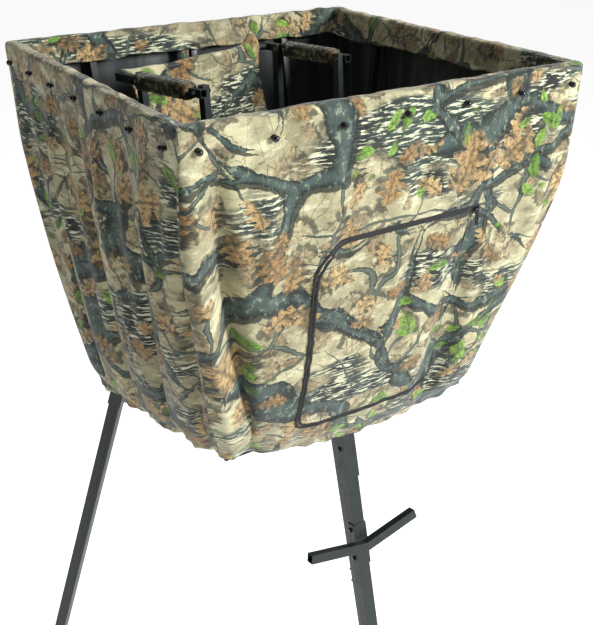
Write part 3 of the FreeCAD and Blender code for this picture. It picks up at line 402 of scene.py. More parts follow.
def lining_material():
    material, n, shader = new_material("charcoal_lining")
    where = n.add("ShaderNodeUVMap", uv_map="cloth")
    weave = place_group(n, WEAVE, {"Vector": where, "Rumple": 1.0})
    streak = n.noise(n.vector("MULTIPLY", where, (16.0, 2.0, 1.0)), 1.0, 3.0, 0.5)
    colour = n.mix(n.ramp(streak, 0.42, 0.72), (0.008, 0.011, 0.011), (0.062, 0.080, 0.078))
    join(n, colour, shader.inputs["Base Color"])
    join(n, n.ramp(weave["Rumples"], 0.3, 1.0, 0.5, 0.66), shader.inputs["Roughness"])
    shader.inputs["Sheen Weight"].default_value = 0.1
    bump(n, shader, weave["Height"], 0.35, 0.006)
    return material


def painted_steel(name, dark, light, chips=0.3):
    material, n, shader = new_material(name)
    wear = place_group(n, WEAR, {"Scale": 38.0, "Chips": chips})
    coat = n.mix(n.ramp(wear["Mottle"], 0.3, 0.7), dark, light)
    colour = n.mix(wear["Chip"], coat, (0.16, 0.17, 0.17))
    join(n, colour, shader.inputs["Base Color"])
    join(n, n.ramp(wear["Mottle"], 0.3, 0.7, 0.40, 0.52), shader.inputs["Roughness"])
    join(n, n.math("MULTIPLY", wear["Chip"], 0.8), shader.inputs["Metallic"])
    shader.inputs["Specular IOR Level"].default_value = 0.35
    bump(n, shader, wear["Grain"], 0.12, 0.0006)
    return material


def plain_finish(name, dark, light, rough_low, rough_high, metallic=0.0, scale=120.0):
    material, n, shader = new_material(name)
    where = n.add("ShaderNodeTexCoord", output="Object")
    mottle = n.noise(where, scale, 4.0, 0.6)
    join(n, n.mix(n.ramp(mottle, 0.3, 0.7), dark, light), shader.inputs["Base Color"])
    join(n, n.ramp(mottle, 0.3, 0.7, rough_low, rough_high), shader.inputs["Roughness"])
    shader.inputs["Metallic"].default_value = metallic
    bump(n, shader, mottle, 0.1, 0.0006)
    return material


CAMO = camo_material("camo_print")
CAMO_SEAT = camo_material("camo_print_seat", rumple=0.8, strength=0.4)
# Arm pads: the same print multiplied down to 0.60 overall, with deeper rumples and a stronger bump.
CAMO_PAD = camo_material("camo_print_darkened", shade=0.60, rumple=1.4, strength=0.8)
LINING = lining_material()
STEEL = painted_steel("powder_coated_steel", (0.011, 0.016, 0.016), (0.017, 0.024, 0.024))
BOLT = plain_finish("black_zinc", (0.03, 0.034, 0.034), (0.07, 0.075, 0.075), 0.32, 0.45, 0.9)
COIL = plain_finish("black_nylon_coil", (0.004, 0.004, 0.005), (0.010, 0.010, 0.011), 0.75, 0.9)
ZIP_METAL = plain_finish("black_enamel", (0.012, 0.012, 0.013), (0.025, 0.025, 0.026), 0.25, 0.4, 0.6)
BALL = plain_finish("gloss_black_ball", (0.004, 0.004, 0.005), (0.008, 0.008, 0.009), 0.10, 0.16)
ELASTIC = plain_finish("black_elastic", (0.008, 0.008, 0.009), (0.02, 0.02, 0.021), 0.6, 0.8, 0.0, 900.0)
PLUG = plain_finish("black_plug", (0.008, 0.008, 0.008), (0.016, 0.016, 0.016), 0.5, 0.65)

BY_SLOT = {"powder_steel": STEEL, "zinc_bolt": BOLT, "zip_coil": COIL, "zip_metal": ZIP_METAL,
           "ball_plastic": BALL, "elastic_cord": ELASTIC, "grommet_steel": BOLT, "plug_plastic": PLUG,
           "bearing_plastic": PLUG, "camo_cloth": CAMO, "camo_foam_wrap": CAMO_SEAT}
ROUNDED = ("leg_", "deck_", "rail_", "seat_side", "arm_tube", "swivel", "step_", "foot_")
for part in frame["record"]["subparts"]:
    node = nodes[part["node"]]
    node.data.materials.clear()
    node.data.materials.append(BY_SLOT[part["material_slot"]])
    if part["node"].startswith(ROUNDED) and not part["node"].endswith("bolts"):
        add_modifier(node, "WELD", merge_threshold=0.00002)
        add_modifier(node, "BEVEL", width=0.0007, segments=2, limit_method="ANGLE",
                     angle_limit=math.radians(40), harden_normals=False)


# ---- the cloth wall ----
# corners: front left, front right, back right, back left; sides: front, right, back, left
SIGNS = np.array([(-1, -1), (1, -1), (1, 1), (-1, 1)], float)
SIDE_COLUMNS = 72
WALL_ROWS = 66
TOP_ROWS = 4
FLAP_ROWS = 8
RAIL_WIDTH = 0.0296
FLAP_DROP = 0.062
FLAP_LEAN_SIDE = 0.021
FLAP_LEAN_FRONT = 0.033
FLAP_LEAN_BACK = 0.013
RAIL_CROWN = 0.0015
PRINT_STEP = 1.3


def hem_corners():
    """Hem corners of the CAD walls, front left first, going round by way of the right."""
    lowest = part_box("wall_front")[0].z
    points = [v.co for name in ("wall_front", "wall_back") for v in nodes[name].data.vertices
              if v.co.z < lowest + 0.001]
    return [max(points, key=lambda p, s=s: p.x * s[0] + (p.y - RIM_MID_Y) * s[1]) for s in SIGNS]


HEM = hem_corners()
HEM_LIFT = (0.104, 0.062, 0.0, -0.045)
HEM_SAG = (0.052, 0.02, 0.02, 0.012)
BULGE_DOWN = 0.272
BULGE_OUT = ((0.006, -0.034), (0.006, -0.034), (0.006, 0.006), (0.006, 0.006))


def corner_track(index, down):
    """Corner position at distances down from the rim."""
    sign = SIGNS[index]
    rim = np.array([sign[0] * RIM_X, RIM_FRONT if sign[1] < 0 else RIM_BACK])
    bulge = rim + sign * np.array(BULGE_OUT[index])
    hem = np.array([HEM[index].x, HEM[index].y])
    drop = RIM_Z - HEM[index].z - HEM_LIFT[index]
    marks = np.array([0.0, RAIL_WIDTH, BULGE_DOWN, drop])
    share = down * drop
    xs = np.interp(share, marks, [rim[0], rim[0], bulge[0], hem[0]])
    ys = np.interp(share, marks, [rim[1], rim[1], bulge[1], hem[1]])
    kernel = np.ones(9) / 9
    for line in (xs, ys):
        beyond = line[-1] + (line[-1] - line[-2]) * np.arange(1, 5)
        line[:] = np.convolve(np.concatenate([np.full(4, line[0]), line, beyond]), kernel, "valid")
    return np.stack([xs, ys, RIM_Z - share], 1)


def loose(around):
    """How far the cloth stands up off the rail at a place round the rim."""
    wave = sum(math.sin(around * math.pi / 2 * turns + turns) for turns in (9, 14, 23, 37, 52, 71))
    return 0.0011 * max(0.0, 0.9 + 0.55 * wave)


def flap_wave(around):
    """Share by which the flap hangs lower at a place round the rim; it droops beside the back corner."""
    wave = sum(math.sin(around * math.pi / 2 * turns + turns * 2) for turns in (11, 19, 31, 47))
    return 0.022 * wave + 0.22 * math.exp(-((around - 1.86) / 0.10) ** 2)


def wall_grid():
    """Rows from the flap's lower edge, over the rail and down to the hem; columns round the four sides."""
    down = np.linspace(0, 1, WALL_ROWS) ** 0.94
    tracks = [corner_track(k, down) for k in range(4)]
    centre = np.array([0.0, RIM_MID_Y])
    half = np.array([RIM_X, (RIM_BACK - RIM_FRONT) / 2])
    columns = []
    for side in range(4):
        for step in range(SIDE_COLUMNS):
            f = step / SIDE_COLUMNS
            outer = tracks[side] * (1 - f) + tracks[(side + 1) % 4] * f
            sag = HEM_SAG[side] * math.sin(math.pi * f) * down ** 3
            outer = outer - np.stack([0 * sag, 0 * sag, sag], 1)
            rim = outer[0, :2].copy()
            outer[0, 2] += 0.6 * loose(side + f)
            inner = centre + (rim - centre) * (half - RAIL_WIDTH) / half
            top = []
            for u in np.arange(1, TOP_ROWS + 1) / TOP_ROWS:
                crown = RAIL_CROWN * math.sin(math.pi * u) + loose(side + f)
                top.append([*(rim + (inner - rim) * u), RIM_Z + crown])
            lean_y = FLAP_LEAN_FRONT if inner[1] < RIM_MID_Y else FLAP_LEAN_BACK
            lean = np.array([np.sign(-inner[0]) * FLAP_LEAN_SIDE, np.sign(RIM_MID_Y - inner[1]) * lean_y])
            lean = lean * (np.abs(inner - centre) / (half - RAIL_WIDTH)) ** 6
            reach = FLAP_DROP * (1 + flap_wave(side + f))
            flap = [[*(inner + lean * u), RIM_Z - reach * u] for u in np.arange(1, FLAP_ROWS + 1) / FLAP_ROWS]
            columns.append(np.array(flap[::-1] + top[::-1] + list(outer)))
    return np.stack(columns, 1), down


def side_uv(grid):
    """Flat cloth coordinates in metres: across the side from its middle, and down from the rim."""
    rows = grid.shape[0]
    step = np.linalg.norm(np.diff(grid, axis=0), axis=2)
    down = np.concatenate([np.zeros((1, grid.shape[1])), np.cumsum(step, axis=0)])
    down = down - down[FLAP_ROWS + TOP_ROWS]
    faces_uv = np.zeros((rows - 1, grid.shape[1], 4, 2))
    for side in range(4):
        start = side * SIDE_COLUMNS
        cols = [(start + k) % (4 * SIDE_COLUMNS) for k in range(SIDE_COLUMNS + 1)]
        width = np.linalg.norm(grid[:, cols[-1]] - grid[:, cols[0]], axis=1)
        for k in range(SIDE_COLUMNS):
            for corner, (dr, dc) in enumerate(((0, 0), (1, 0), (1, 1), (0, 1))):
                f = (k + dc) / SIDE_COLUMNS - 0.5
                faces_uv[:, start + k, corner, 0] = f * width[dr:rows - 1 + dr] + PRINT_STEP * side
                faces_uv[:, start + k, corner, 1] = -down[dr:rows - 1 + dr, cols[k + dc]]
    return faces_uv


def outward(grid):
    """Unit normals of the wrapped grid, pointing away from the middle on the outer wall."""
    around = np.roll(grid, -1, axis=1) - np.roll(grid, 1, axis=1)
    along = np.gradient(grid, axis=0)
    normal = np.cross(along, around)
    return normal / np.maximum(np.linalg.norm(normal, axis=2, keepdims=True), 1e-9)


# ---- door outline in flat cloth coordinates ----
DOOR_LOW, DOOR_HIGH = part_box("door_panel")
DOOR_LEFT = DOOR_LOW.x
DOOR_RIGHT = DOOR_HIGH.x
TURN_TOP = 0.09
ZIP_RUN_END = -0.11
TURN_BOTTOM = 0.045


def door_distance(x, z):
    """Distance outside (+) or inside (-) the door's outline, by place across and height."""
    top, bottom = DOOR_HIGH.z, DOOR_LOW.z
    slope = DOOR_AXIS.z
    turn = np.where(z > (top + bottom) / 2, TURN_TOP, TURN_BOTTOM)
    turn = np.where(x > (DOOR_LEFT + DOOR_RIGHT) / 2, 0.0, turn)
    half_x, half_z = (DOOR_RIGHT - DOOR_LEFT) / 2, (top - bottom) / 2 / slope
    dx = np.abs(x - (DOOR_LEFT + DOOR_RIGHT) / 2) - (half_x - turn)
    dz = np.abs((z - (top + bottom) / 2) / slope) - (half_z - turn)
    outside = np.hypot(np.maximum(dx, 0), np.maximum(dz, 0))
    return outside + np.minimum(np.maximum(dx, dz), 0) - turn


# side, across at the top, down at the top, across at the foot, down at the foot, half width, depth
FOLDS = (
    (0, 0.010, 0.05, 0.045, 1.00, 0.022, 0.035),
    (0, 0.075, 0.08, 0.115, 0.98, 0.023, -0.048),
    (0, 0.185, 0.02, 0.170, 0.95, 0.035, 0.016),
    (0, 0.255, 0.02, 0.260, 0.90, 0.030, -0.009),
    (0, 0.340, 0.01, 0.330, 0.55, 0.028, 0.009),
    (0, 0.505, 0.02, 0.520, 0.90, 0.020, 0.009),
    (0, 0.560, 0.10, 0.560, 0.85, 0.026, -0.010),
    (0, 0.70, 0.02, 0.74, 0.80, 0.036, 0.008),
    (0, 0.82, 0.05, 0.80, 0.98, 0.034, -0.012),
    (0, 0.93, 0.05, 0.90, 1.00, 0.030, 0.016),
    (3, 0.965, 0.04, 0.94, 1.00, 0.026, -0.038),
    (3, 0.86, 0.05, 0.84, 1.00, 0.030, 0.030),
    (3, 0.74, 0.10, 0.70, 1.00, 0.030, -0.034),
    (3, 0.60, 0.05, 0.58, 1.00, 0.034, 0.028),
    (3, 0.46, 0.05, 0.42, 1.00, 0.030, -0.032),
    (3, 0.32, 0.05, 0.28, 1.00, 0.032, 0.028),
    (3, 0.19, 0.05, 0.17, 1.00, 0.027, -0.028),
    (3, 0.06, 0.05, 0.08, 1.00, 0.028, 0.020),
    (1, 0.08, 0.05, 0.12, 1.00, 0.034, 0.016),
    (1, 0.24, 0.05, 0.26, 1.00, 0.040, -0.018),
    (1, 0.42, 0.05, 0.44, 1.00, 0.036, 0.018),
    (1, 0.58, 0.05, 0.58, 1.00, 0.036, -0.018),
    (1, 0.76, 0.05, 0.74, 1.00, 0.040, 0.018),
    (1, 0.90, 0.05, 0.88, 1.00, 0.030, -0.016),
    (2, 0.12, 0.05, 0.16, 1.00, 0.034, -0.018),
    (2, 0.30, 0.05, 0.32, 1.00, 0.036, 0.018),
    (2, 0.52, 0.05, 0.50, 1.00, 0.040, -0.018),
    (2, 0.70, 0.05, 0.70, 1.00, 0.036, 0.018),
    (2, 0.88, 0.05, 0.84, 1.00, 0.034, -0.016),
)
PUCKER_PITCH = 0.047
PUCKER_DEPTH = 0.0028
RUFFLE = 0.0006


def add_folds(grid, down):
    """Long soft folds from rim to hem, a gathered hem, and puckers along the zip."""
    normal = outward(grid)
    first = FLAP_ROWS + TOP_ROWS
    t = np.concatenate([np.zeros(first), down])[:, None]
    f = (np.arange(4 * SIDE_COLUMNS) / SIDE_COLUMNS)[None, :]
    push = np.zeros(grid.shape[:2])
    for side, f0, t0, f1, t1, half, depth in FOLDS:
        share = np.clip((t - t0) / (t1 - t0), 0, 1)
        middle = side + f0 + (f1 - f0) * share
        gap = (f - middle + 2) % 4 - 2
        fade = np.clip((t - 0.035) * 9, 0, 1)
        arch = np.sin(math.pi * np.clip(share * 0.75 + 0.15, 0, 1))
        push += depth * np.exp(-(gap / half) ** 2) * fade * arch
    rng = np.random.default_rng(5)
    for _ in range(26):
        turns, phase, size = rng.integers(17, 61), rng.uniform(0, 6.28), rng.uniform(0.3, 1.0)
        around = f * math.pi / 2 * turns
        push += RUFFLE * size * np.sin(around + phase) * np.clip(t - 0.55, 0, 1) ** 2 * 8
        push += RUFFLE * size * np.sin(around + phase * 2) * np.clip(0.25 - t, 0, 1) * 4
    gap = door_distance(grid[..., 0], grid[..., 2])
    beside = np.exp(-(gap / 0.022) ** 2) * (grid[..., 1] < RIM_MID_Y) * (t > 0)
    push += PUCKER_DEPTH * beside * np.sin((grid[..., 0] + grid[..., 2]) * 2 * math.pi / PUCKER_PITCH)
    push = np.where(t < 0.055, np.maximum(push, 0.0) + 0.0008, push)
    return grid + normal * push[..., None]


def simulate(thing, pins, frames, slack):
    """Cloth settles between its pinned edges; the result becomes the mesh."""
    group = thing.vertex_groups.new(name="pins")
    for index, weight in enumerate(pins):
        if weight > 0:
            group.add([index], float(weight), "REPLACE")
    modifier = thing.modifiers.new("drape", "CLOTH")
    cloth = modifier.settings
    cloth.quality = 6
    cloth.mass = 0.18
    cloth.tension_stiffness = 18
    cloth.compression_stiffness = 18
    cloth.shear_stiffness = 6
    cloth.bending_stiffness = 0.8
    cloth.vertex_group_mass = "pins"
    cloth.shrink_min = -slack
    cloth.shrink_max = -slack
    modifier.collision_settings.use_collision = False
    modifier.point_cache.frame_start = 1
    modifier.point_cache.frame_end = frames
    scene = bpy.context.scene
    for number in range(1, frames + 1):
        scene.frame_set(number)
    graph = bpy.context.evaluated_depsgraph_get()
    settled = thing.evaluated_get(graph).to_mesh()
    found = np.zeros(len(settled.vertices) * 3)
    settled.vertices.foreach_get("co", found)
    thing.evaluated_get(graph).to_mesh_clear()
    thing.modifiers.remove(modifier)
    thing.vertex_groups.clear()
    scene.frame_set(1)
    return found.reshape(-1, 3)


def grid_faces(rows, columns):
    return [(r * columns + c, (r + 1) * columns + c, (r + 1) * columns + (c + 1) % columns,
             r * columns + (c + 1) % columns) for r in range(rows - 1) for c in range(columns)]


def snap_to_door(points, rows, columns):
    """Moves the grid points nearest the door's outline onto it, so that the cut follows it."""
    flat = points.reshape(rows, columns, 3)
    cols = np.arange(2, SIDE_COLUMNS - 2)
    first = FLAP_ROWS + TOP_ROWS + 4
    for r in range(first, rows - 3):
        for c in cols:
            here = flat[r, c]
            d = float(door_distance(here[0], here[2]))
            right = flat[r, c + 1] - flat[r, c - 1]
            lower = flat[r + 1, c] - flat[r - 1, c]
            reach = 0.25 * max(np.linalg.norm(right), np.linalg.norm(lower))
            if abs(d) > reach:
                continue
            eps = 0.0005
            gx = (float(door_distance(here[0] + eps, here[2])) - d) / eps
            gz = (float(door_distance(here[0], here[2] + eps)) - d) / eps
            size = max(math.hypot(gx, gz), 1e-6)
            move_x, move_z = -d * gx / size ** 2, -d * gz / size ** 2
            flat[r, c] = here + right * (move_x / right[0]) + lower * (move_z / lower[2])
    return flat.reshape(-1, 3)


def lay_on_wall(points, rows, columns):
    """Brings the front cloth onto the CAD wall's outer face beside the door's hinge line and upper zip."""
    out = np.array([0.0, -DOOR_AXIS.z, DOOR_AXIS.y])
    face = max(float(np.dot(out, v.co)) for v in nodes["door_panel"].data.vertices)
    patch = points.reshape(rows, columns, 3)[FLAP_ROWS + TOP_ROWS + 2:, 1:SIDE_COLUMNS]
    x, z = patch[..., 0], patch[..., 2]
    low, high = DOOR_LOW.z, DOOR_HIGH.z
    to_hinge = np.hypot(x - DOOR_RIGHT, z - np.clip(z, low, high))
    to_zip = np.hypot(x - np.clip(x, ZIP_RUN_END, DOOR_RIGHT + 0.03), z - high)
    near = np.minimum(to_hinge + 0.012, to_zip)
    weight = np.exp(-(np.maximum(near - 0.030, 0) / 0.028) ** 2)
    patch -= (weight * (patch @ out - face))[..., None] * out


def cut_sheet(name, points, faces, faces_uv, keep, body, replaced):
    used = sorted({i for f, k in zip(faces, keep) if k for i in f})
    index = {old: new for new, old in enumerate(used)}
    kept = [tuple(index[i] for i in f) for f, k in zip(faces, keep) if k]
    thing = mesh_object(name, points[used], kept)
    layer = thing.data.uv_layers.new(name="cloth")
    layer.data.foreach_set("uv", faces_uv[np.array(keep)].reshape(-1))
    thing.data.materials.append(CAMO)
    thing.data.materials.append(LINING)
    add_modifier(thing, "SUBSURF", levels=1, render_levels=1)
    add_modifier(thing, "SOLIDIFY", thickness=0.0016, offset=-1.0, material_offset=1)
    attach(thing, body)
    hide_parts(*replaced)
    return thing


def make_walls():
    grid, down = wall_grid()
    rows, columns = grid.shape[:2]
    faces_uv = side_uv(grid).reshape(-1, 4, 2)
    grid = add_folds(grid, down)
    faces = grid_faces(rows, columns)
    points = grid.reshape(-1, 3)
    first = FLAP_ROWS + TOP_ROWS
    sheet = mesh_object("drape_source", points, faces)
    pins = np.zeros((rows, columns))
    pins[:first + 4] = 1.0
    pins[-1] = 1.0
    pins[first + 4:first + 7] = 0.3
    points = simulate(sheet, pins.reshape(-1), 24, 0.006)
    bpy.data.objects.remove(sheet)
    points = points.copy()
    lay_on_wall(points, rows, columns)
    points = snap_to_door(points, rows, columns)
    centres = np.array([points[list(f)].mean(0) for f in faces])
    front = np.array([(k % columns) < SIDE_COLUMNS and k // columns > first for k in range(len(faces))])
    inside = front & (door_distance(centres[:, 0], centres[:, 2]) < 0)
    wall = cut_sheet("blind_cloth", points, faces, faces_uv, ~inside, "stand",
                     ["wall_front", "wall_left", "wall_back", "wall_right"])
    door = cut_sheet("door_cloth", points, faces, faces_uv, inside, "door", ["door_panel"])
    return wall, door, points.reshape(rows, columns, 3)


blind, door_cloth, wall_points = make_walls()


def sheet_area(thing):
    return sum(p.area for p in thing.data.polygons)


def on_front(x, z, out=0.0):
    """Point on the front wall's settled cloth at a place across and a height, moved outward."""
    first = FLAP_ROWS + TOP_ROWS
    patch = wall_points[first:, :SIDE_COLUMNS + 1]
    gap = (patch[..., 0] - x) ** 2 + (patch[..., 2] - z) ** 2
    near = np.argsort(gap.reshape(-1))[:6]
    spots = patch.reshape(-1, 3)[near]
    weight = 1 / (gap.reshape(-1)[near] + 1e-6)
    fit = np.linalg.lstsq(np.column_stack([spots[:, 0] - x, spots[:, 2] - z, np.ones(len(near))])
                          * np.sqrt(weight)[:, None], spots[:, 1] * np.sqrt(weight), rcond=None)[0]
    out_dir = np.array([0.0, -DOOR_AXIS.z, DOOR_AXIS.y])
    return Vector(np.array([x, fit[2], z]) + out_dir * out)


# ---- zipper ----
def door_path(first_x, last_x, grow):
    """Places along the zip from its lower end, left, up, and right to its upper end."""
    slope = DOOR_AXIS.z
    top, bottom = DOOR_HIGH.z + grow * slope, DOOR_LOW.z - grow * slope
    left = DOOR_LEFT - grow
    spots = [(x, bottom) for x in np.linspace(first_x, left + TURN_BOTTOM, 40)]
    for k in range(1, 10):
        a = math.pi / 2 * k / 10
        spots.append((left + TURN_BOTTOM * (1 - math.sin(a)),
                      bottom + TURN_BOTTOM * (1 - math.cos(a)) * slope))
    spots += [(left, z) for z in np.linspace(bottom + TURN_BOTTOM * slope, top - TURN_TOP * slope, 44)]
    for k in range(1, 14):
        a = math.pi / 2 * k / 14
        spots.append((left + TURN_TOP * (1 - math.cos(a)), top - TURN_TOP * (1 - math.sin(a)) * slope))
    spots += [(x, top) for x in np.linspace(left + TURN_TOP, last_x, 36)]
    return [on_front(x, z, 0.0006) for x, z in spots]


def ribbon(name, path, body, replaced):
    """Flat band with rounded shoulders that lies along a path on the front wall."""
    half_width, thick = 0.0037, 0.0016
    out_dir = Vector((0.0, -DOOR_AXIS.z, DOOR_AXIS.y))
    section = ((-1.0, 0.0), (-0.8, 0.8), (-0.25, 1.0), (0.25, 1.0), (0.8, 0.8), (1.0, 0.0))
    points = []
    for k, spot in enumerate(path):
        run = (path[min(k + 1, len(path) - 1)] - path[max(k - 1, 0)]).normalized()
        side = run.cross(out_dir).normalized()
        for across, up in section:
            points.append(spot + side * (half_width * across) + out_dir * (thick * up))
    band = mesh_object(name, points, strip_faces(len(path), len(section)))
    finish_piece(band, body, COIL)
    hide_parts(replaced)


SLIDER_LOW, SLIDER_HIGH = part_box("zipper_slider")
zip_end_x = (SLIDER_LOW.x + SLIDER_HIGH.x) / 2
wall_line = door_path(DOOR_RIGHT + 0.004, zip_end_x, 0.0040)
door_line = door_path(DOOR_RIGHT - 0.005, DOOR_RIGHT - 0.005, -0.0034)
ribbon("zip_tape_wall", wall_line, "stand", "zipper_coil_frame")
ribbon("zip_tape_door", door_line, "door", "zipper_coil_door")

round(sheet_area(blind), 3)
round(sheet_area(door_cloth), 3)


# ---- seat sling and arm pads ----
def middle_of(name):
    low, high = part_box(name)
    return (Vector(low) + Vector(high)) / 2


SEAT_RIGHT = middle_of("arm_tube_right") - middle_of("arm_tube_left")
SEAT_RIGHT.z = 0
SEAT_RIGHT.normalize()
SEAT_FORWARD = Vector((SEAT_RIGHT.y, -SEAT_RIGHT.x, 0))


def seat_place(right, forward, height):
    return Vector((SWIVEL.x, SWIVEL.y, height)) + SEAT_RIGHT * right + SEAT_FORWARD * forward


def in_seat_axes(name):
    spots = np.array([v.co for v in nodes[name].data.vertices]) - np.array([SWIVEL.x, SWIVEL.y, 0])
    return np.stack([spots @ np.array(SEAT_RIGHT), spots @ np.array(SEAT_FORWARD), spots[:, 2]], 1)


def even_steps(line, count):
    """The same line in equal steps, and its length."""
    run = np.concatenate([[0], np.cumsum(np.hypot(*np.diff(line, axis=0).T))])
    even = np.linspace(0, run[-1], count)
    return np.stack([np.interp(even, run, line[:, k]) for k in (0, 1)], 1), run[-1]


def sling_profile(count):
    """Middle line of the sling's section, from the back rod down and forward to the front rod."""
    spots = in_seat_axes("seat_sling")
    edge = spots[spots[:, 0] > spots[:, 0].max() - 0.001]
    hub = np.array([-0.02, edge[:, 2].min() + 0.22])
    angle = np.arctan2(edge[:, 2] - hub[1], edge[:, 1] - hub[0]) % (2 * math.pi)
    order = np.argsort(angle)
    turn, radius = angle[order], np.hypot(edge[:, 1] - hub[0], edge[:, 2] - hub[1])[order]
    wanted = np.linspace(turn[0], turn[-1], 240)
    level = np.interp(wanted, turn, radius)
    level = np.concatenate([level[:1].repeat(3), level, level[-1:].repeat(3)])
    level = np.convolve(level, np.ones(7) / 7, "valid")
    line = np.stack([hub[0] + level * np.cos(wanted), hub[1] + level * np.sin(wanted)], 1)
    return even_steps(line, count)[0]


def over_rod(line, count):
    """The same line with the cloth's turn over the back rod put in front of it."""
    arm = in_seat_axes("arm_tube_left")
    hub = np.array([arm[:, 1].min() + 0.0095, (arm[:, 2].min() + arm[:, 2].max()) / 2])
    turns = np.radians(np.linspace(120, 25, 9))
    wrap = hub + 0.0112 * np.stack([np.cos(turns), np.sin(turns)], 1)
    return even_steps(np.concatenate([wrap, line[line[:, 1] < hub[1] - 0.004]]), count)


def swell(gap, width):
    return math.exp(-(gap / width) ** 2)


def past(u, start):
    """0 up to a start, then up to 1 at the edge."""
    return max(0.0, (u - start) / (1 - start))


def make_sling():
    """Seat cloth: hangs in a belly, creased toward the raised corners at its back rod."""
    rows, columns = 110, 48
    line, length = over_rod(sling_profile(90), rows)
    half = in_seat_axes("seat_sling")[:, 0].max()
    along = np.gradient(line, axis=0)
    along /= np.linalg.norm(along, axis=1, keepdims=True)
    inside = np.stack([-along[:, 1], along[:, 0]], 1)
    points = []
    for r in range(rows):
        t = r / (rows - 1) * length
        rise = math.exp(-t / 0.045)
        for c in range(columns):
            u = (c / (columns - 1) - 0.5) * 2
            ear = (0.012 * past(u, 0.55) ** 1.6 + 0.008 * past(-u, 0.80) ** 1.6) * rise
            across = u * half * (1 - 0.12 * max(0.0, u) * swell(t, 0.30) + 0.20 * max(0.0, -u) * rise)
            crease = 0.014 * swell(across - (0.195 - t * 0.55), 0.020) * swell(t, 0.22)
            pull = 0.008 * swell(across + 0.10 - t * 0.3, 0.035) * swell(t - 0.12, 0.15)
            belly = -0.010 * (1 - u * u) * math.sin(math.pi * min(t / length, 1))
            lift = crease - pull + belly + 0.006 * past(u, 0.6) * swell(t, 0.13)
            points.append(seat_place(across * (1 - 0.03 * math.sin(math.pi * t / length)),
                                     line[r, 0] + inside[r, 0] * lift,
                                     line[r, 1] + inside[r, 1] * lift + ear))
    sling = mesh_object("sling_cloth", points, strip_faces(rows, columns))
    mark_cloth(sling, lambda i: (7.7 + (i % columns / (columns - 1) - 0.5) * 2 * half,
                                 2.2 - i // columns / (rows - 1) * length))
    add_modifier(sling, "SUBSURF", levels=1, render_levels=1)
    add_modifier(sling, "SOLIDIFY", thickness=0.003, offset=0.0)
    finish_piece(sling, "seat", CAMO_SEAT)
    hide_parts("seat_sling")


PAD_CORNER = 3.2


def soft_square(turn):
    """Radius of a rounded square of half width 1, by angle."""
    return (abs(math.cos(turn)) ** PAD_CORNER + abs(math.sin(turn)) ** PAD_CORNER) ** (-1 / PAD_CORNER)


def pad_axes(node):
    """Length of a pad, and a placer by size across, angle round it and share of its length."""
    spots = in_seat_axes(node)
    low, high = spots.min(0), spots.max(0)
    middle, half = (low + high) / 2, (high - low) / 2

    def place(size, turn, share):
        return seat_place(middle[0] + half[0] * size * math.cos(turn), low[1] + share * 2 * half[1],
                          middle[2] + half[2] * size * math.sin(turn))

    return 2 * half[1], place


def make_pad(name, node):
    """Foam sleeve wrapped in the same cloth, gathered a little where the cord binds it."""
    length, place = pad_axes(node)
    rings, around = 70, 40
    points, marks = [], []
    for r in range(rings):
        share = r / (rings - 1)
        end = min(share, 1 - share) * length
        shrink = 1 - 0.30 * max(0.0, 1 - end / 0.010) ** 2
        bind = 1 - 0.07 * sum(swell(share - at, 0.012) for at in (0.70, 0.78, 0.86, 0.93))
        for a in range(around):
            turn = 2 * math.pi * a / around
            ripple = 1 + 0.012 * math.sin(turn * 3 + share * 34) + 0.010 * math.sin(share * 90 + turn)
            points.append(place(soft_square(turn) * shrink * bind * ripple * 1.05, turn, share))
            marks.append((5.1 + share * length, 1.4 + turn * 0.019))
    faces = [(r * around + a, (r + 1) * around + a, (r + 1) * around + (a + 1) % around,
              r * around + (a + 1) % around) for r in range(rings - 1) for a in range(around)]
    faces += [tuple(range(around)), tuple((rings - 1) * around + a for a in reversed(range(around)))]
    pad = mesh_object(name, points, faces)
    mark_cloth(pad, lambda i: marks[i])
    finish_piece(pad, "seat", CAMO_PAD)
    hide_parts(node)


def make_binding(name, node, runs):
    """Black cord wound on a slant round a pad, in runs of (start, end, turns)."""
    place = pad_axes(node)[1]
    verts, faces = [], []
    ring, per_turn, radius = 6, 28, 0.0016
    for start, end, turns in runs:
        first = len(verts)
        steps = turns * per_turn
        for k in range(steps + 1):
            turn = 2 * math.pi * k / per_turn
            hub = place(soft_square(turn) * 1.035, turn, start + (end - start) * k / steps)
            out = SEAT_RIGHT * math.cos(turn) + Vector((0, 0, math.sin(turn)))
            for j in range(ring):
                a = 2 * math.pi * j / ring
                verts.append(hub + (out * math.cos(a) + SEAT_FORWARD * math.sin(a)) * radius)
        for k in range(steps):
            a = first + k * ring
            faces += [(a + j, a + (j + 1) % ring, a + ring + (j + 1) % ring, a + ring + j)
                      for j in range(ring)]
    finish_piece(mesh_object(name, verts, faces), "seat", ELASTIC)


def make_strap(x, width, top, bottom):
    """Short strap of the same cloth that hangs inside the back wall, from behind the flap."""
    rows, columns = 24, 5
    points = []
    for r in range(rows):
        t = r / (rows - 1)
        for c in range(columns):
            u = c / (columns - 1) - 0.5
            depth = 0.003 * math.sin(7 * t) + 0.003 * u * u
            points.append((x + u * width + 0.004 * t * t, RIM_BACK - 0.037 + depth, top + (bottom - top) * t))
    strap = mesh_object("back_strap", points, strip_faces(rows, columns))
    mark_cloth(strap, lambda i: (3.36 + i % columns / (columns - 1) * width,
                                 -(i // columns) / (rows - 1) * (top - bottom)))
    add_modifier(strap, "SOLIDIFY", thickness=0.0016, offset=0.0)
    finish_piece(strap, "stand", CAMO)


make_strap(-0.034, 0.028, RIM_Z - 0.05, RIM_Z - 0.165)
make_sling()
for side in ("left", "right"):
    make_pad("pad_" + side, "arm_pad_" + side)
    make_binding("pad_cord_" + side, "arm_pad_" + side, ((0.05, 0.22, 2), (0.46, 0.95, 5)))

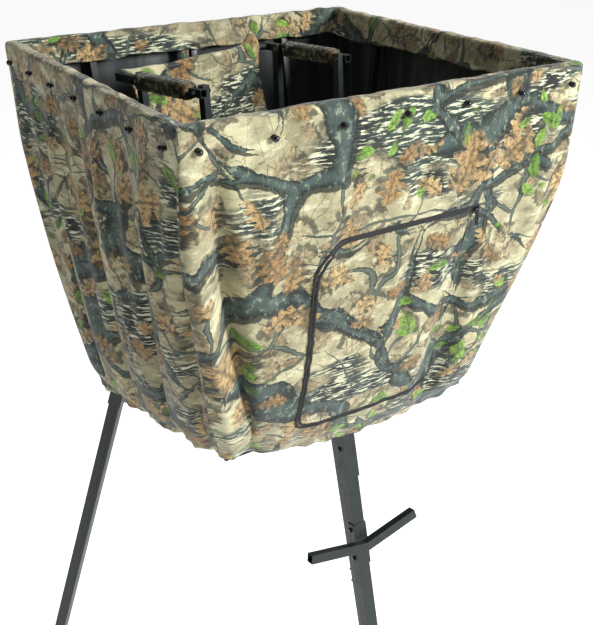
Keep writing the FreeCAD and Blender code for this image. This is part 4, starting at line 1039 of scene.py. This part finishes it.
# ---- floor, light and camera ----
FLOOR_HALF = 40.0
floor = mesh_object("floor", [(x * FLOOR_HALF, y * FLOOR_HALF, 0) for x, y in SIGNS], [(0, 1, 2, 3)], False)
floor_material, _, floor_shader = new_material("pale_floor")
floor_shader.inputs["Base Color"].default_value = (0.93, 0.93, 0.93, 1)
floor_shader.inputs["Roughness"].default_value = 0.9
floor_shader.inputs["Emission Color"].default_value = (1.0, 1.0, 1.0, 1)
floor_shader.inputs["Emission Strength"].default_value = 0.80
floor.data.materials.append(floor_material)

world = bpy.data.worlds.new("studio")
world.use_nodes = True
world.node_tree.nodes["Background"].inputs["Color"].default_value = (1.0, 1.0, 1.0, 1)
world.node_tree.nodes["Background"].inputs["Strength"].default_value = 0.15
bpy.context.scene.world = world
bpy.context.scene.view_settings.view_transform = "Standard"


def area_light(name, location, target, size, power):
    data = bpy.data.lights.new(name, "AREA")
    data.shape = "SQUARE"
    data.size = size
    data.energy = power
    lamp = bpy.data.objects.new(name, data)
    lamp.location = location
    lamp.rotation_mode = "QUATERNION"
    lamp.rotation_quaternion = (Vector(target) - Vector(location)).to_track_quat("-Z", "Y")
    bpy.context.scene.collection.objects.link(lamp)
    return lamp


AIM = Vector((0.0, RIM_MID_Y, RIM_Z - 0.5))
area_light("key", AIM + Vector((3.6, -5.6, 2.6)), AIM, 1.8, 860)
area_light("top", AIM + Vector((1.2, 0.8, 5.0)), AIM, 4.0, 130)

CAMERA_AZIMUTH = math.radians(-35.459)
CAMERA_ELEVATION = math.radians(27.909)
CAMERA_REACH = 1.8565
CAMERA_AIM = Vector((-0.18634, RIM_MID_Y - 0.69839, DECK_TOP + 0.44621))
camera_data = bpy.data.cameras.new("camera")
camera_data.sensor_width = 36.0
camera_data.lens = 54.235
camera_data.shift_x = -0.1424
camera_data.shift_y = 0.0528
camera = bpy.data.objects.new("camera", camera_data)
back = Vector((math.sin(CAMERA_AZIMUTH) * math.cos(CAMERA_ELEVATION),
               -math.cos(CAMERA_AZIMUTH) * math.cos(CAMERA_ELEVATION), math.sin(CAMERA_ELEVATION)))
camera.location = CAMERA_AIM + back * CAMERA_REACH
camera.rotation_mode = "QUATERNION"
camera.rotation_quaternion = (-back).to_track_quat("-Z", "Y")
bpy.context.scene.collection.objects.link(camera)
bpy.context.scene.camera = camera
